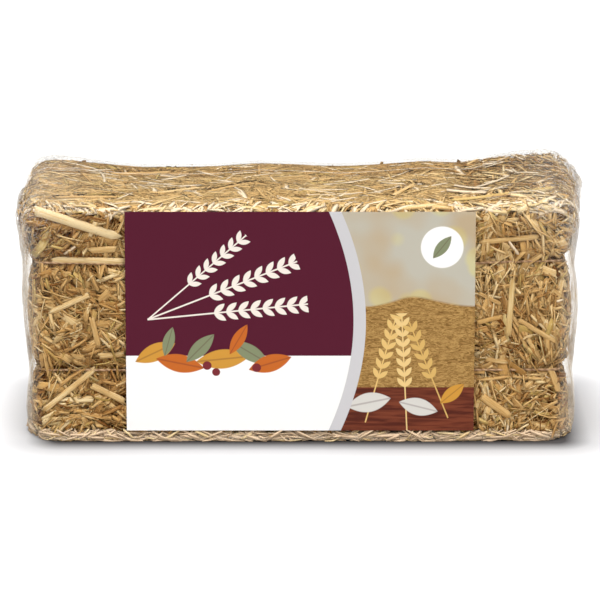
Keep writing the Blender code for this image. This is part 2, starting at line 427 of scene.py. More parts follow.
@dataclass(frozen=True)
class StrawLook:
    """Finish of chopped straw: colours by tint, from old red-brown to bleached cream."""

    old: tuple = srgb(118, 72, 28)
    brown: tuple = srgb(148, 103, 52)
    tan: tuple = srgb(176, 133, 78)
    golden: tuple = srgb(197, 157, 99)
    pale: tuple = srgb(214, 179, 122)
    cream: tuple = srgb(230, 206, 160)
    olive: tuple = srgb(184, 160, 88)
    amber: tuple = srgb(196, 150, 84)
    rose: tuple = srgb(224, 196, 168)
    bleached_and_highlight: tuple = srgb(248, 234, 202)
    # Painted deep shade: the bottom of each whole stem's open bore, and the darkest tone of the block's
    # sides
    deep_shade: tuple = srgb(84, 50, 22)
    roughness: float = 0.48
    sheen: float = 0.11
    bump_m: float = 0.00006
    streak_depth: float = 0.36
    blotch_depth: float = 0.16
    speck_share: float = 0.5
    block_streaks: float = 0.25
    block_patch: float = 160.0
    block_finish: tuple[float, float] = (0.8, 0.05)
    # Heights where the block turns from the painted shade of its sides to the painted light of its top
    block_shade_to_light: tuple[float, float] = (0.130, 0.136)

    def build(self, grain: bpy.types.NodeTree) -> bpy.types.Material:
        """Make the material of loose straw, from its per-straw attributes.

        Args:
            grain: The node group of the grain.

        Returns:
            The material.
        """
        material, nodes, shader = new_material("loose straw")
        tint, hue, core = (nodes.stored(name) for name in ("tint", "hue", "core"))
        effect = nodes.use(grain, Where=nodes.add("UVMap", uv_map="straw").outputs[0])
        level = tint
        for name, depth in (("Streaks", self.streak_depth), ("Blotches", self.blotch_depth)):
            shift = nodes.math("MULTIPLY_ADD", effect.outputs[name], depth, -depth / 2)
            level = nodes.math("ADD", level, shift, clamp=name == "Blotches")
        tone = nodes.ramp(level, self.stops())
        for low, high, share, colour in self.turns():
            tone = nodes.mix(nodes.span(hue, low, high, 0.0, share), tone, colour)
        specks = nodes.math("MULTIPLY", effect.outputs["Specks"], self.speck_share)
        tone = nodes.mix(specks, tone, self.old)
        # Painted shade down the open bore of whole stems, by the stored share
        nodes.join(nodes.mix(core, tone, self.deep_shade), shader.inputs["Base Color"])
        set_finish(shader, self.roughness, self.sheen)
        nodes.join(nodes.bump(effect.outputs["Height"], self.bump_m), shader.inputs["Normal"])
        return material

    def stops(self) -> list[tuple[float, tuple]]:
        """Colour stops from the oldest straw to the most bleached."""
        return [
            (0.02, self.old),
            (0.18, self.brown),
            (0.36, self.tan),
            (0.54, self.golden),
            (0.74, self.pale),
            (0.95, self.cream),
        ]

    def turns(self) -> list[tuple]:
        """Hues where straw turns to another colour: start, end, greatest share, colour."""
        return [
            (0.90, 0.93, 0.50, self.olive),
            (0.07, 0.04, 0.55, self.amber),
            (1.2, 1.8, 0.80, self.rose),
            (2.2, 2.8, 0.38, self.bleached_and_highlight),
        ]

    def build_block(self, grain: bpy.types.NodeTree) -> bpy.types.Material:
        """Make the material of the pressed block: dark at its sides as painted shade, paler on its top as
        painted light.

        Args:
            grain: The node group of the grain.

        Returns:
            The material.
        """
        material, nodes, shader = new_material("pressed straw")
        where = nodes.place()
        streaks = nodes.use(grain, Where=where).outputs["Streaks"]
        patch = nodes.noise(where, self.block_patch, 4.0, 0.6, 0.6)
        level = nodes.math("MULTIPLY_ADD", streaks, self.block_streaks, patch, clamp=True)
        # Painted shade at the block's sides, seen in the gaps between loose straw, and painted light on its
        # top, mixed by height
        deep = nodes.ramp(level, [(0.30, self.deep_shade), (0.62, self.old), (0.90, self.brown)])
        top = nodes.ramp(level, [(0.30, self.brown), (0.62, self.tan), (0.90, self.golden)])
        share = nodes.span(nodes.axes(where)["Z"], *self.block_shade_to_light)
        nodes.join(nodes.mix(share, deep, top), shader.inputs["Base Color"])
        set_finish(shader, *self.block_finish)
        return material


class Section(Enum):
    """Cross-section of a straw."""

    FIBRE = "three sides"
    SLIVER = "flat ribbon with a ridge"
    SPLIT = "half of a split stem"
    TUBE = "whole stem, half crushed"
    HALF = "smooth half stem"

    def outline(self) -> Array:
        """Points round the section, across and up, for a width of 2.

        Returns:
            An array of points, in order round the section.
        """
        if self is Section.FIBRE:
            return np.array([(-1.0, 0.0), (1.0, 0.0), (0.0, 0.7)])
        if self is Section.SLIVER:
            return np.array([(-1.0, -0.28), (0.0, -0.08), (1.0, -0.28), (-0.15, 0.20)])
        if self is Section.SPLIT:
            return np.array([(-1, -0.42), (0, -0.16), (1, -0.42), (0.86, -0.24), (0, 0.14), (-0.86, -0.24)])
        if self is Section.HALF:
            arc = np.linspace(math.radians(172), math.radians(8), 9)
            shell = np.stack([np.cos(arc), 0.62 * np.sin(arc) - 0.30], 1)
            inner = np.stack([0.84 * np.cos(arc), 0.46 * np.sin(arc) - 0.34], 1)[::-1]
            return np.concatenate([shell, inner])[::-1]
        turns = np.linspace(0, 2 * math.pi, 8, endpoint=False)
        return np.stack([np.cos(turns), 0.55 * np.sin(turns)], 1)


# How far the way out leans both forwards and upwards along the rounded front top edge
BROW_LEAN = 0.38


class Zone(Enum):
    """Part of the block's surface, told by the way out there."""

    FRONT = 0
    BACK = 1
    TOP = 2
    FOOT = 3
    ENDS = 4
    BROW = 5

    @staticmethod
    def of(normals: Array) -> Array:
        """Tell the zone from the way out.

        Args:
            normals: The way out at each place.

        Returns:
            The zone's number at each place.
        """
        side = np.where(normals[:, 1] < 0, Zone.FRONT.value, Zone.BACK.value)
        level = np.where(normals[:, 2] > 0, Zone.TOP.value, Zone.FOOT.value)
        size = np.abs(normals)
        upright = (size[:, 2] > size[:, 1]) & (size[:, 2] > size[:, 0])
        endwise = (size[:, 0] > size[:, 1]) & ~upright
        brow = (normals[:, 1] < -BROW_LEAN) & (normals[:, 2] > BROW_LEAN)
        plain = np.where(upright, level, np.where(endwise, Zone.ENDS.value, side))
        return np.where(brow, Zone.BROW.value, plain)


class Ground:
    """The smoothed surface of the pressed block, that the loose straw lies on."""

    # Straw behind the label and below the middle of the foot is thinned out to these shares
    label_margin = 0.008
    label_share = 0.03
    foot_share = 0.25
    foot_middle = 0.048

    def __init__(self, node: bpy.types.Object, cuts: int = 2, rounds: int = 3) -> None:
        """Take the surface of a CAD node.

        Args:
            node: The node.
            cuts: Cuts of each edge, to make room for smoothing.
            rounds: Rounds of smoothing.
        """
        bm = bmesh.new()
        bm.from_mesh(node.data)
        bmesh.ops.remove_doubles(bm, verts=bm.verts, dist=1e-6)
        bmesh.ops.subdivide_edges(bm, edges=bm.edges[:], cuts=cuts, use_grid_fill=True)
        smooth(bm, rounds)
        bmesh.ops.triangulate(bm, faces=bm.faces[:])
        bm.normal_update()
        self.tree = BVHTree.FromBMesh(bm)
        self.corners = np.array([[v.co[:] for v in f.verts] for f in bm.faces])
        self.normals = np.array([f.normal[:] for f in bm.faces])
        self.areas = np.array([f.calc_area() for f in bm.faces])
        self.zones = Zone.of(self.normals)
        self.seen = 1.0 - self.behind_label() * (1.0 - self.label_share)
        deep = np.abs(self.corners.mean(1)[:, 1]) < self.foot_middle
        below = (self.zones == Zone.FOOT.value) & deep
        self.seen = self.seen * np.where(below, self.foot_share, 1.0)
        bm.free()

    def behind_label(self) -> Array:
        """Tell which faces the label hides.

        Returns:
            1 or 0 per face.
        """
        low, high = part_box("label")
        middle = self.corners.mean(1)
        margin = self.label_margin
        beside = (middle[:, 0] > low.x + margin) & (middle[:, 0] < high.x - margin)
        level = (middle[:, 2] > low.z + margin) & (middle[:, 2] < high.z - margin)
        return (beside & level & (self.normals[:, 1] < -0.5)).astype(float)

    def scatter(
        self, chance: Chance, count: int, weights: dict[Zone, float]
    ) -> tuple[Array, Array, Array]:
        """Choose places on the surface.

        Args:
            chance: The random source.
            count: How many places.
            weights: Relative density by zone.

        Returns:
            Arrays of places, normals and zone numbers.
        """
        table = np.array([weights.get(zone, 1.0) for zone in Zone])
        odds = self.areas * table[self.zones] * self.seen
        picks = chance.choice(len(odds), count, p=odds / odds.sum())
        first, second = chance.random((2, count))
        flip = first + second > 1
        first = np.where(flip, 1 - first, first)[:, None]
        second = np.where(flip, 1 - second, second)[:, None]
        a, b, c = (self.corners[picks, i] for i in range(3))
        return a + (b - a) * first + (c - a) * second, self.normals[picks], self.zones[picks]

    def nearest(self, points: Array) -> tuple[Array, Array]:
        """Lay points on the surface.

        Args:
            points: Places anywhere.

        Returns:
            The nearest places on the surface, and the way out at each.
        """
        flat = points.reshape(-1, 3)
        found = [self.tree.find_nearest(point) for point in flat]
        places = np.array([item[0][:] for item in found]).reshape(points.shape)
        normals = np.array([item[1][:] for item in found]).reshape(points.shape)
        return places, normals


def unit(vectors: Array) -> Array:
    """Scale vectors to length 1."""
    return vectors / np.maximum(np.linalg.norm(vectors, axis=-1, keepdims=True), 1e-12)


def smooth(bm: bmesh.types.BMesh, rounds: int) -> None:
    """Smooth a mesh in rounds, each vertex halfway towards its neighbours."""
    for _ in range(rounds):
        bmesh.ops.smooth_vert(
            bm, verts=bm.verts, factor=0.5, use_axis_x=True, use_axis_y=True, use_axis_z=True
        )


@dataclass
class Straws:
    """Many straws as one mesh, lofted ring by ring from arrays."""

    centres: Array
    normals: Array
    widths: Array
    section: Section
    tints: Array
    hues: Array
    rolls: Array
    heights: Array
    slants: Array
    taper: tuple[float, float] = (0.85, 0.85)
    tear: float = 0.0
    most_torn: float = 0.0024
    lip: float = 0.72
    bore: float = 0.8
    # Share of the painted bore shade at the lip of a stem's open end
    lip_shade: float = 0.25
    torn_skew: float = 1.5
    streak_shift: float = 7.0

    def rings(self, chance: Chance) -> tuple[Array, Array, Array]:
        """Ring points, their place along the straw, and the share of painted deep shade at each ring.

        Args:
            chance: The random source, for torn ends.

        Returns:
            Points (straw, ring, corner, axis), lengths (straw, ring) and painted deep shade (ring).
        """
        steps = np.diff(self.centres, axis=1)
        runs = unit(np.concatenate([steps[:, :1], steps[:, :-1] + steps[:, 1:], steps[:, -1:]], 1))
        gaps = np.linalg.norm(steps, axis=2)
        along = np.concatenate([np.zeros((len(gaps), 1)), np.cumsum(gaps, 1)], 1)
        across = unit(np.cross(self.normals, runs))
        above = np.cross(runs, across)
        turn = self.rolls[:, None, None]
        sideways = across * np.cos(turn) + above * np.sin(turn)
        upward = above * np.cos(turn) - across * np.sin(turn)
        outline = self.section.outline()
        count = self.centres.shape[1]
        share = np.ones(count)
        share[0], share[-1] = self.taper
        half = self.widths[:, None, None, None] / 2 * share[None, :, None, None]
        high = half * self.heights[:, None, None, None]
        points = self.centres[:, :, None] + sideways[:, :, None] * outline[None, None, :, :1] * half
        points = points + upward[:, :, None] * outline[None, None, :, 1:] * high
        lean = np.zeros((1, count, 1, 1))
        lean[0, 0], lean[0, -1] = 1, -1
        slants = np.clip(self.slants, -1, 1)[:, None, None, None]
        cut = outline[None, None, :, :1] * np.minimum(half, self.most_torn / 2) * slants * lean
        points = points + runs[:, :, None] * cut
        if self.tear:
            torn = chance.random((2, len(points), len(outline), 1)) ** self.torn_skew * self.tear
            torn = torn * np.minimum(self.widths, self.most_torn)[:, None, None]
            points[:, 0] -= runs[:, 0, None] * torn[0]
            points[:, -1] += runs[:, -1, None] * torn[1]
        deep_shade = np.zeros(count)
        if self.section is not Section.TUBE:
            return points, along, deep_shade
        return self.hollow(points, along, deep_shade, runs)

    def hollow(
        self, points: Array, along: Array, deep_shade: Array, runs: Array
    ) -> tuple[Array, Array, Array]:
        """Add rings that turn in at both ends, for the open bore of a whole stem.

        Args:
            points: Ring points.
            along: Their place along the straw.
            deep_shade: The share of painted deep shade.
            runs: The straw's direction at each ring.

        Returns:
            The first three, with the new rings.
        """
        ends = []
        for ring, way in ((0, 1), (-1, -1)):
            middle = points[:, ring].mean(1, keepdims=True)
            lip = middle + (points[:, ring] - middle) * self.lip
            deep = lip + runs[:, ring, None] * way * self.widths[:, None, None] * self.bore
            ends.append((lip[:, None], deep[:, None]))
        (lip_a, deep_a), (lip_b, deep_b) = ends
        points = np.concatenate([deep_a, lip_a, points, lip_b, deep_b], 1)
        first, last = along[:, :1], along[:, -1:]
        along = np.concatenate([first, first, along, last, last], 1)
        deep_shade = np.concatenate([[1.0, self.lip_shade], deep_shade, [self.lip_shade, 1.0]])
        return points, along, deep_shade

    def build(self, name: str, material: bpy.types.Material, chance: Chance) -> bpy.types.Object:
        """Make the object.

        Args:
            name: Its name.
            material: Its material.
            chance: The random source, for where each straw lies in the streak pattern.

        Returns:
            The object.
        """
        points, along, deep_shade = self.rings(chance)
        points[..., 2] = np.maximum(points[..., 2], LOWEST)
        straws, rings, corners, _ = points.shape
        index = np.arange(straws * rings * corners).reshape(straws, rings, corners)
        nxt = np.roll(index, -1, axis=2)
        quads = np.stack([index[:, :-1], nxt[:, :-1], nxt[:, 1:], index[:, 1:]], -1).reshape(-1, 4)
        caps = np.concatenate([index[:, 0, ::-1], index[:, -1]])
        mesh = bpy.data.meshes.new(name)
        fill_mesh(mesh, points.reshape(-1, 3), [quads, caps])
        outline = self.section.outline()
        offset = chance.random((straws, 1, 1, 2)) * self.streak_shift
        u = along[:, :, None] + offset[..., 0] + np.zeros((1, 1, corners))
        v = outline[None, None, :, 0] * self.widths[:, None, None] / 2 + offset[..., 1]
        v = v + np.zeros((1, rings, 1))
        uv = np.stack([u, v], -1).reshape(-1, 2)
        set_uv(mesh, "straw", uv)
        whole = np.ones((1, rings, corners))
        set_value(mesh, "tint", self.tints[:, None, None] * whole)
        set_value(mesh, "hue", self.hues[:, None, None] * whole)
        set_value(mesh, "core", deep_shade[None, :, None] * np.ones((straws, 1, corners)))
        mesh.materials.append(material)
        return link(name, mesh)


def fill_mesh(mesh: bpy.types.Mesh, points: Array, faces: list[Array]) -> None:
    """Fill an empty mesh from arrays.

    Args:
        mesh: The mesh.
        points: Its vertices.
        faces: One array of faces for each number of corners.
    """
    mesh.vertices.add(len(points))
    mesh.vertices.foreach_set("co", points.astype(np.float32).ravel())
    loops = np.concatenate([item.ravel() for item in faces]).astype(np.int32)
    sizes = np.concatenate([np.full(len(item), item.shape[1]) for item in faces])
    starts = np.concatenate([[0], np.cumsum(sizes)[:-1]]).astype(np.int32)
    mesh.loops.add(len(loops))
    mesh.loops.foreach_set("vertex_index", loops)
    mesh.polygons.add(len(sizes))
    mesh.polygons.foreach_set("loop_start", starts)
    mesh.update(calc_edges=True)
    mesh.validate()


def set_uv(mesh: bpy.types.Mesh, name: str, uv: Array) -> None:
    """Give a mesh a UV map.

    Args:
        mesh: The mesh.
        name: The map's name.
        uv: A place for each vertex.
    """
    layer = mesh.uv_layers.new(name=name)
    loops = np.empty(len(mesh.loops), np.int32)
    mesh.loops.foreach_get("vertex_index", loops)
    layer.uv.foreach_set("vector", uv[loops].astype(np.float32).ravel())


def set_value(mesh: bpy.types.Mesh, name: str, values: Array) -> None:
    """Give a mesh a value per vertex."""
    layer = mesh.attributes.new(name, "FLOAT", "POINT")
    layer.data.foreach_set("value", values.astype(np.float32).ravel())


def link(name: str, data: bpy.types.ID) -> bpy.types.Object:
    """Put data in the scene as an object.

    Args:
        name: The object's name.
        data: Its mesh, light or camera.

    Returns:
        The object.
    """
    item = bpy.data.objects.new(name, data)
    bpy.context.scene.collection.objects.link(item)
    return item


@dataclass(frozen=True)
class Cut:
    """One sort of chopped straw and how it lies on the block."""

    name: str
    count: int
    section: Section
    length: tuple[float, float]
    width: tuple[float, float]
    lift: tuple[float, float]
    tint: tuple[float, float]
    stations: int = 4
    tilt: float = 0.0012
    bend: float = 1.5
    roll: float = 0.35
    height: tuple[float, float] = (0.7, 1.2)
    taper: tuple[float, float] = (0.95, 0.8)
    tear: float = 0.0
    turn: float = 0.8
    bleached_and_highlight: float = 0.0
    weights: dict = field(default_factory=dict)


CUTS = (
    Cut("bed", 11500, Section.FIBRE, mm(8, 20), mm(1.4, 3.8), mm(0.0, 1.2),
        (0.22, 0.14), stations=3, tilt=0.0006, height=(0.4, 0.7)),
    Cut("sheaths", 2400, Section.SPLIT, mm(10, 27), mm(3.0, 6.4), mm(1.1, 2.5),
        (0.42, 0.15), height=(0.35, 0.6), taper=(1.0, 0.9), tear=0.7,
        weights={Zone.TOP: 0.7, Zone.BROW: 1.2}),
    Cut("splits", 5300, Section.SLIVER, mm(8, 26), mm(1.0, 3.0), mm(1.2, 2.8),
        (0.43, 0.18), tear=0.7, weights={Zone.TOP: 0.9}),
    Cut("fibres", 10500, Section.FIBRE, mm(6, 20), mm(0.25, 0.9), mm(1.3, 3.3),
        (0.47, 0.20), stations=3, tilt=0.0014, weights={Zone.TOP: 1.0, Zone.BROW: 0.6}),
    Cut("chips", 6500, Section.FIBRE, mm(1.8, 7), mm(0.5, 1.9), mm(1.4, 3.2),
        (0.48, 0.20), stations=2, tilt=0.0007, weights={Zone.TOP: 2.0, Zone.BROW: 0.6}),
    Cut("tops", 4100, Section.SLIVER, mm(9, 34), mm(0.9, 3.0), mm(2.2, 3.3),
        (0.58, 0.19), tear=0.6, bleached_and_highlight=0.02, weights={Zone.TOP: 0.6}),
    Cut("flakes", 750, Section.SPLIT, mm(9, 24), mm(3.0, 5.6), mm(2.0, 3.0),
        (0.56, 0.15), height=(0.35, 0.6), taper=(1.0, 0.8), tear=0.7, weights={Zone.TOP: 0.6}),
    # Straw along the rounded front top edge: pale, and half of it bleached white, as painted highlight
    Cut("brow", 520, Section.SLIVER, mm(13, 38), mm(1.6, 4.8), mm(2.4, 3.4),
        (0.92, 0.10), bend=4.0, tear=0.6, turn=0.45, bleached_and_highlight=0.5,
        weights={**dict.fromkeys(Zone, 0.0), Zone.BROW: 1.0, Zone.TOP: 0.03}),
    Cut("stems", 440, Section.TUBE, mm(12, 38), mm(1.6, 3.6), mm(1.3, 2.3),
        (0.66, 0.16), stations=5, tilt=0.0010, taper=(1.0, 0.9), bleached_and_highlight=0.02,
        weights={Zone.TOP: 0.5}),
)


@dataclass(frozen=True)
class Flow:
    """How straws of a zone lie: turned in bundles, apart from each other, or any way at all."""

    turn: float
    spread: float
    free: float
    base: float = 0.0
    lean: float = 0.0


UPRIGHT = Flow(turn=3.2, spread=0.55, free=0.25, base=math.pi / 2 * 0.85)
LYING = Flow(turn=2.0, spread=0.50, free=0.28)
FLOWS = {
    Zone.FRONT: UPRIGHT,
    Zone.BACK: UPRIGHT,
    Zone.TOP: LYING,
    Zone.FOOT: LYING,
    Zone.ENDS: UPRIGHT,
    Zone.BROW: Flow(turn=1.8, spread=0.28, free=0.06, lean=0.32),
}


@dataclass
class LooseStraw:
    """The loose straw on the block's surface.

    Tints and heights follow what the photo shows: flat, calm straw along the top, a loose heap at
    its right end, darker straw towards its rear edge, pale straw along the front top edge as
    painted highlight, and paler straw towards the front's right as painted light.
    """

    ground: Ground
    material: bpy.types.Material
    string_heights: tuple[float, ...]
    stems: list[tuple[Array, float]]
    film: BVHTree
    shortest: float = 0.6
    width_skew: float = 1.8
    sharp_share: float = 0.45
    slant: float = 0.8
    usual_room: float = 0.0042
    most_room: float = 0.0080
    top_height: float = 0.1375
    end_start: float = 0.150
    end_width: float = 0.008
    end_share: float = 0.40
    shoulder: tuple[float, float] = (0.104, 0.126)
    over_string: float = 0.22
    string_hold: float = 0.92
    string_sink: float = 0.0004
    seed: int = 7
    under_stems: float = 0.0013
    stem_margin: float = 0.0030
    lowest_tilt: float = 0.0010
    highest_tilt: float = 0.0003
    groove: float = 0.0035
    flow_scale: float = 22.0
    patch: float = 0.26
    patch_scale: float = 34.0
    # Painted highlight along the front top edge: the tint that straw there is drawn towards
    brow_highlight: float = 0.80
    brow_highlight_calm: float = 0.75
    top_level: float = 0.71
    top_calm: float = 0.22
    top_flat: float = 0.22
    top_lift: float = 0.0025
    top_pressed: float = 0.16
    rear_start: float = 0.0155
    rear_darker: float = 0.14
    rear_lift: float = 0.0019
    rear_lean: tuple[float, float] = (0.25, 0.35)
    heap_start: float = 0.098
    heap_level: float = 0.90
    heap_calm: float = 0.75
    heap_flat: float = 0.5
    right_painted_light: float = 0.09
    right_reach: float = 0.12

    def lay(self, cut: Cut) -> bpy.types.Object:
        """Lay all straws of one sort.

        Args:
            cut: The sort of straw.

        Returns:
            The object, one joined mesh.
        """
        chance = np.random.default_rng([self.seed, len(cut.name), cut.count])
        count = cut.count
        places, normals, zones = self.ground.scatter(chance, count, cut.weights)
        lengths = chance.uniform(*cut.length, count) * chance.uniform(self.shortest, 1.0, count)
        spread = chance.random(count) ** self.width_skew
        widths = cut.width[0] + (cut.width[1] - cut.width[0]) * spread
        runs, sides = self.directions(chance, places, normals, zones)
        bends = chance.normal(0, cut.bend, count)
        centres, ups = self.centre_lines(cut, places, runs, sides, lengths, bends)
        sharp = np.flatnonzero((ups[:, 0] * ups[:, -1]).sum(1) < cut.turn)
        lengths[sharp] *= self.sharp_share
        centres[sharp], ups[sharp] = self.centre_lines(
            cut, places[sharp], runs[sharp], sides[sharp], lengths[sharp], bends[sharp]
        )
        on_top, in_heap = zones == Zone.TOP.value, places[:, 0] > self.heap_start
        pressed = on_top & ~in_heap
        lift = self.lifts(chance, cut, centres, ups, pressed)
        centres = centres + ups * lift[:, :, None]
        flat = np.where(pressed, self.top_flat, np.where(on_top & in_heap, self.heap_flat, 1.0))
        straws = Straws(
            centres=centres,
            normals=ups,
            widths=widths,
            section=cut.section,
            tints=self.tints(chance, cut, places, zones),
            hues=np.where(chance.random(count) < cut.bleached_and_highlight, BLEACHED_AND_HIGHLIGHT, chance.random(count)),
            rolls=chance.normal(0, cut.roll, count) * flat,
            heights=chance.uniform(*cut.height, count) * flat,
            taper=cut.taper,
            slants=chance.normal(0, self.slant, count),
            tear=cut.tear,
        )
        LOG.info("%s: %d straws", cut.name, count)
        return straws.build(f"loose_straw_{cut.name}", self.material, chance)

    def tints(self, chance: Chance, cut: Cut, places: Array, zones: Array) -> Array:
        """Choose each straw's tint.

        Args:
            chance: The random source.
            cut: The sort of straw.
            places: The middle of each straw.
            zones: Its zone's number.

        Returns:
            A tint for each straw: older or paler in patches, paler to the right as painted light, pale
                along the front top edge as painted highlight, calm on top and darker towards its rear.
        """
        patch = np.array([noise.noise(Vector(p) * self.patch_scale) for p in places])
        tints = chance.normal(*cut.tint, len(places)) + self.patch * patch
        # Painted highlight: straw along the front top edge is drawn pale, towards one high tint
        brow = self.brow_highlight + (tints - self.brow_highlight) * self.brow_highlight_calm
        # Painted light: straw on the front is drawn paler towards the right
        right = self.right_painted_light * np.clip(places[:, 0] / self.right_reach, 0.0, 1.0)
        tints = np.where(zones == Zone.FRONT.value, tints + right, tints)
        tints = np.where(zones == Zone.BROW.value, brow, tints)
        heap = places[:, 0] > self.heap_start
        level = np.where(heap, self.heap_level, self.top_level)
        top = level + (tints - level) * np.where(heap, self.heap_calm, self.top_calm)
        # Straw on the top is darker towards its rear
        top = top - np.where(places[:, 1] > self.rear_start, self.rear_darker, 0.0)
        return np.clip(np.where(zones == Zone.TOP.value, top, tints), 0.0, 1.0)

    def directions(
        self, chance: Chance, places: Array, normals: Array, zones: Array
    ) -> tuple[Array, Array]:
        """Choose a direction in the surface for each straw, flowing in loose bundles.

        Args:
            chance: The random source.
            places: The middle of each straw.
            normals: The way out there.
            zones: Its zone's number.

        Returns:
            The direction along each straw, and the one across it.
        """
        first = np.where((np.abs(normals[:, :1]) > 0.7), (0.0, 1.0, 0.0), (1.0, 0.0, 0.0))
        first = unit(first - normals * (first * normals).sum(1, keepdims=True))
        second = np.cross(normals, first)
        bundles = np.array([noise.noise(Vector(p) * self.flow_scale) for p in places])
        table = np.array([astuple(FLOWS[zone]) for zone in Zone])
        turn, spread, free, base, lean = table[zones].T
        count = len(places)
        angle = turn * bundles + np.sign(chance.random(count) - 0.5) * lean
        angle = angle + chance.normal(0, 1, count) * spread + base
        loose = chance.random(count) < free
        angle = np.where(loose, chance.uniform(0, math.pi, count), angle)[:, None]
        runs = first * np.cos(angle) + second * np.sin(angle)
        return runs, np.cross(normals, runs)

    def centre_lines(
        self, cut: Cut, places: Array, runs: Array, sides: Array, lengths: Array, bends: Array
    ) -> tuple[Array, Array]:
        """Lay the middle lines on the surface.

        Args:
            cut: The sort of straw.
            places: The middle of each straw.
            runs: The direction along it.
            sides: The direction across it.
            lengths: Its length.
            bends: How it curves.

        Returns:
            The stations of each straw, and the way out at each.
        """
        steps = np.linspace(-0.5, 0.5, cut.stations)[None, :] * lengths[:, None]
        curve = bends[:, None] * steps * steps
        guess = places[:, None] + runs[:, None] * steps[..., None] + sides[:, None] * curve[..., None]
        return self.ground.nearest(guess)

    def room(self, centres: Array, ups: Array) -> Array:
        """Measure the room between the block and the film.

        Args:
            centres: The stations.
            ups: The way out at each.

        Returns:
            The room's share of the usual room.
        """
        flat, ways = centres.reshape(-1, 3), ups.reshape(-1, 3)
        hits = [self.film.ray_cast(a, b, self.most_room)[3] for a, b in zip(flat, ways)]
        gaps = np.array([self.most_room if gap is None else gap for gap in hits])
        return (gaps / self.usual_room).reshape(centres.shape[:2])

    def end_pull(self, centres: Array) -> Array:
        """Tell how far straw reaches towards the film.

        Args:
            centres: The stations.

        Returns:
            The share of the room that straw fills: less low down at the ends.
        """
        outer = np.clip((np.abs(centres[..., 0]) - self.end_start) / self.end_width, 0, 1)
        low, high = self.shoulder
        below = np.clip((high - centres[..., 2]) / (high - low), 0, 1)
        return 1 - (1 - self.end_share) * outer * below

    def lifts(self, chance: Chance, cut: Cut, centres: Array, ups: Array, on_top: Array) -> Array:
        """Height of each station over the surface.

        Args:
            chance: The random source.
            cut: The sort of straw.
            centres: The stations.
            ups: The way out at each.
            on_top: Which straws lie pressed on the top.

        Returns:
            Heights: tilted a little, and held down by the strings, the film and the large stems.
        """
        count, stations, _ = centres.shape
        base = chance.uniform(*cut.lift, count)[:, None]
        slope = chance.normal(0, cut.tilt, count)[:, None] * np.linspace(-1, 1, stations)[None, :]
        lift = np.clip(base + slope, cut.lift[0] - self.lowest_tilt, cut.lift[1] + self.highest_tilt)
        pressed = self.top_lift + (lift - self.top_lift) * self.top_pressed
        lift = np.where(on_top[:, None], pressed, lift)
        high = centres[:, :, 2].min(1) > self.top_height
        level = (lift.mean(1, keepdims=True) + lift) / 2
        lift = np.where(high[:, None], level, lift)
        free = chance.random(count)[:, None] < self.over_string
        held = np.zeros(lift.shape)
        for height in self.string_heights:
            near = np.exp(-(((centres[..., 2] - height) / self.groove) ** 2))
            held = np.maximum(held, near)
        share = self.room(centres, ups) * self.end_pull(centres)
        lift = lift * (share * (1 - held) + np.minimum(share, 1.0) * held)
        pressed = lift - np.maximum(lift + self.string_sink, 0) * held * self.string_hold
        lift = np.where(free, lift, pressed)
        rear = (ups[..., 1] > self.rear_lean[0]) & (ups[..., 2] > self.rear_lean[1])
        lift = np.where(rear, np.minimum(lift, self.rear_lift), lift)
        for line, width in self.stems:
            gaps = np.linalg.norm(centres[:, :, None] - line[None, None], axis=3).min(2)
            covered = gaps < width / 2 + self.stem_margin
            lift = np.where(covered, np.minimum(lift, self.under_stems), lift)
        return lift


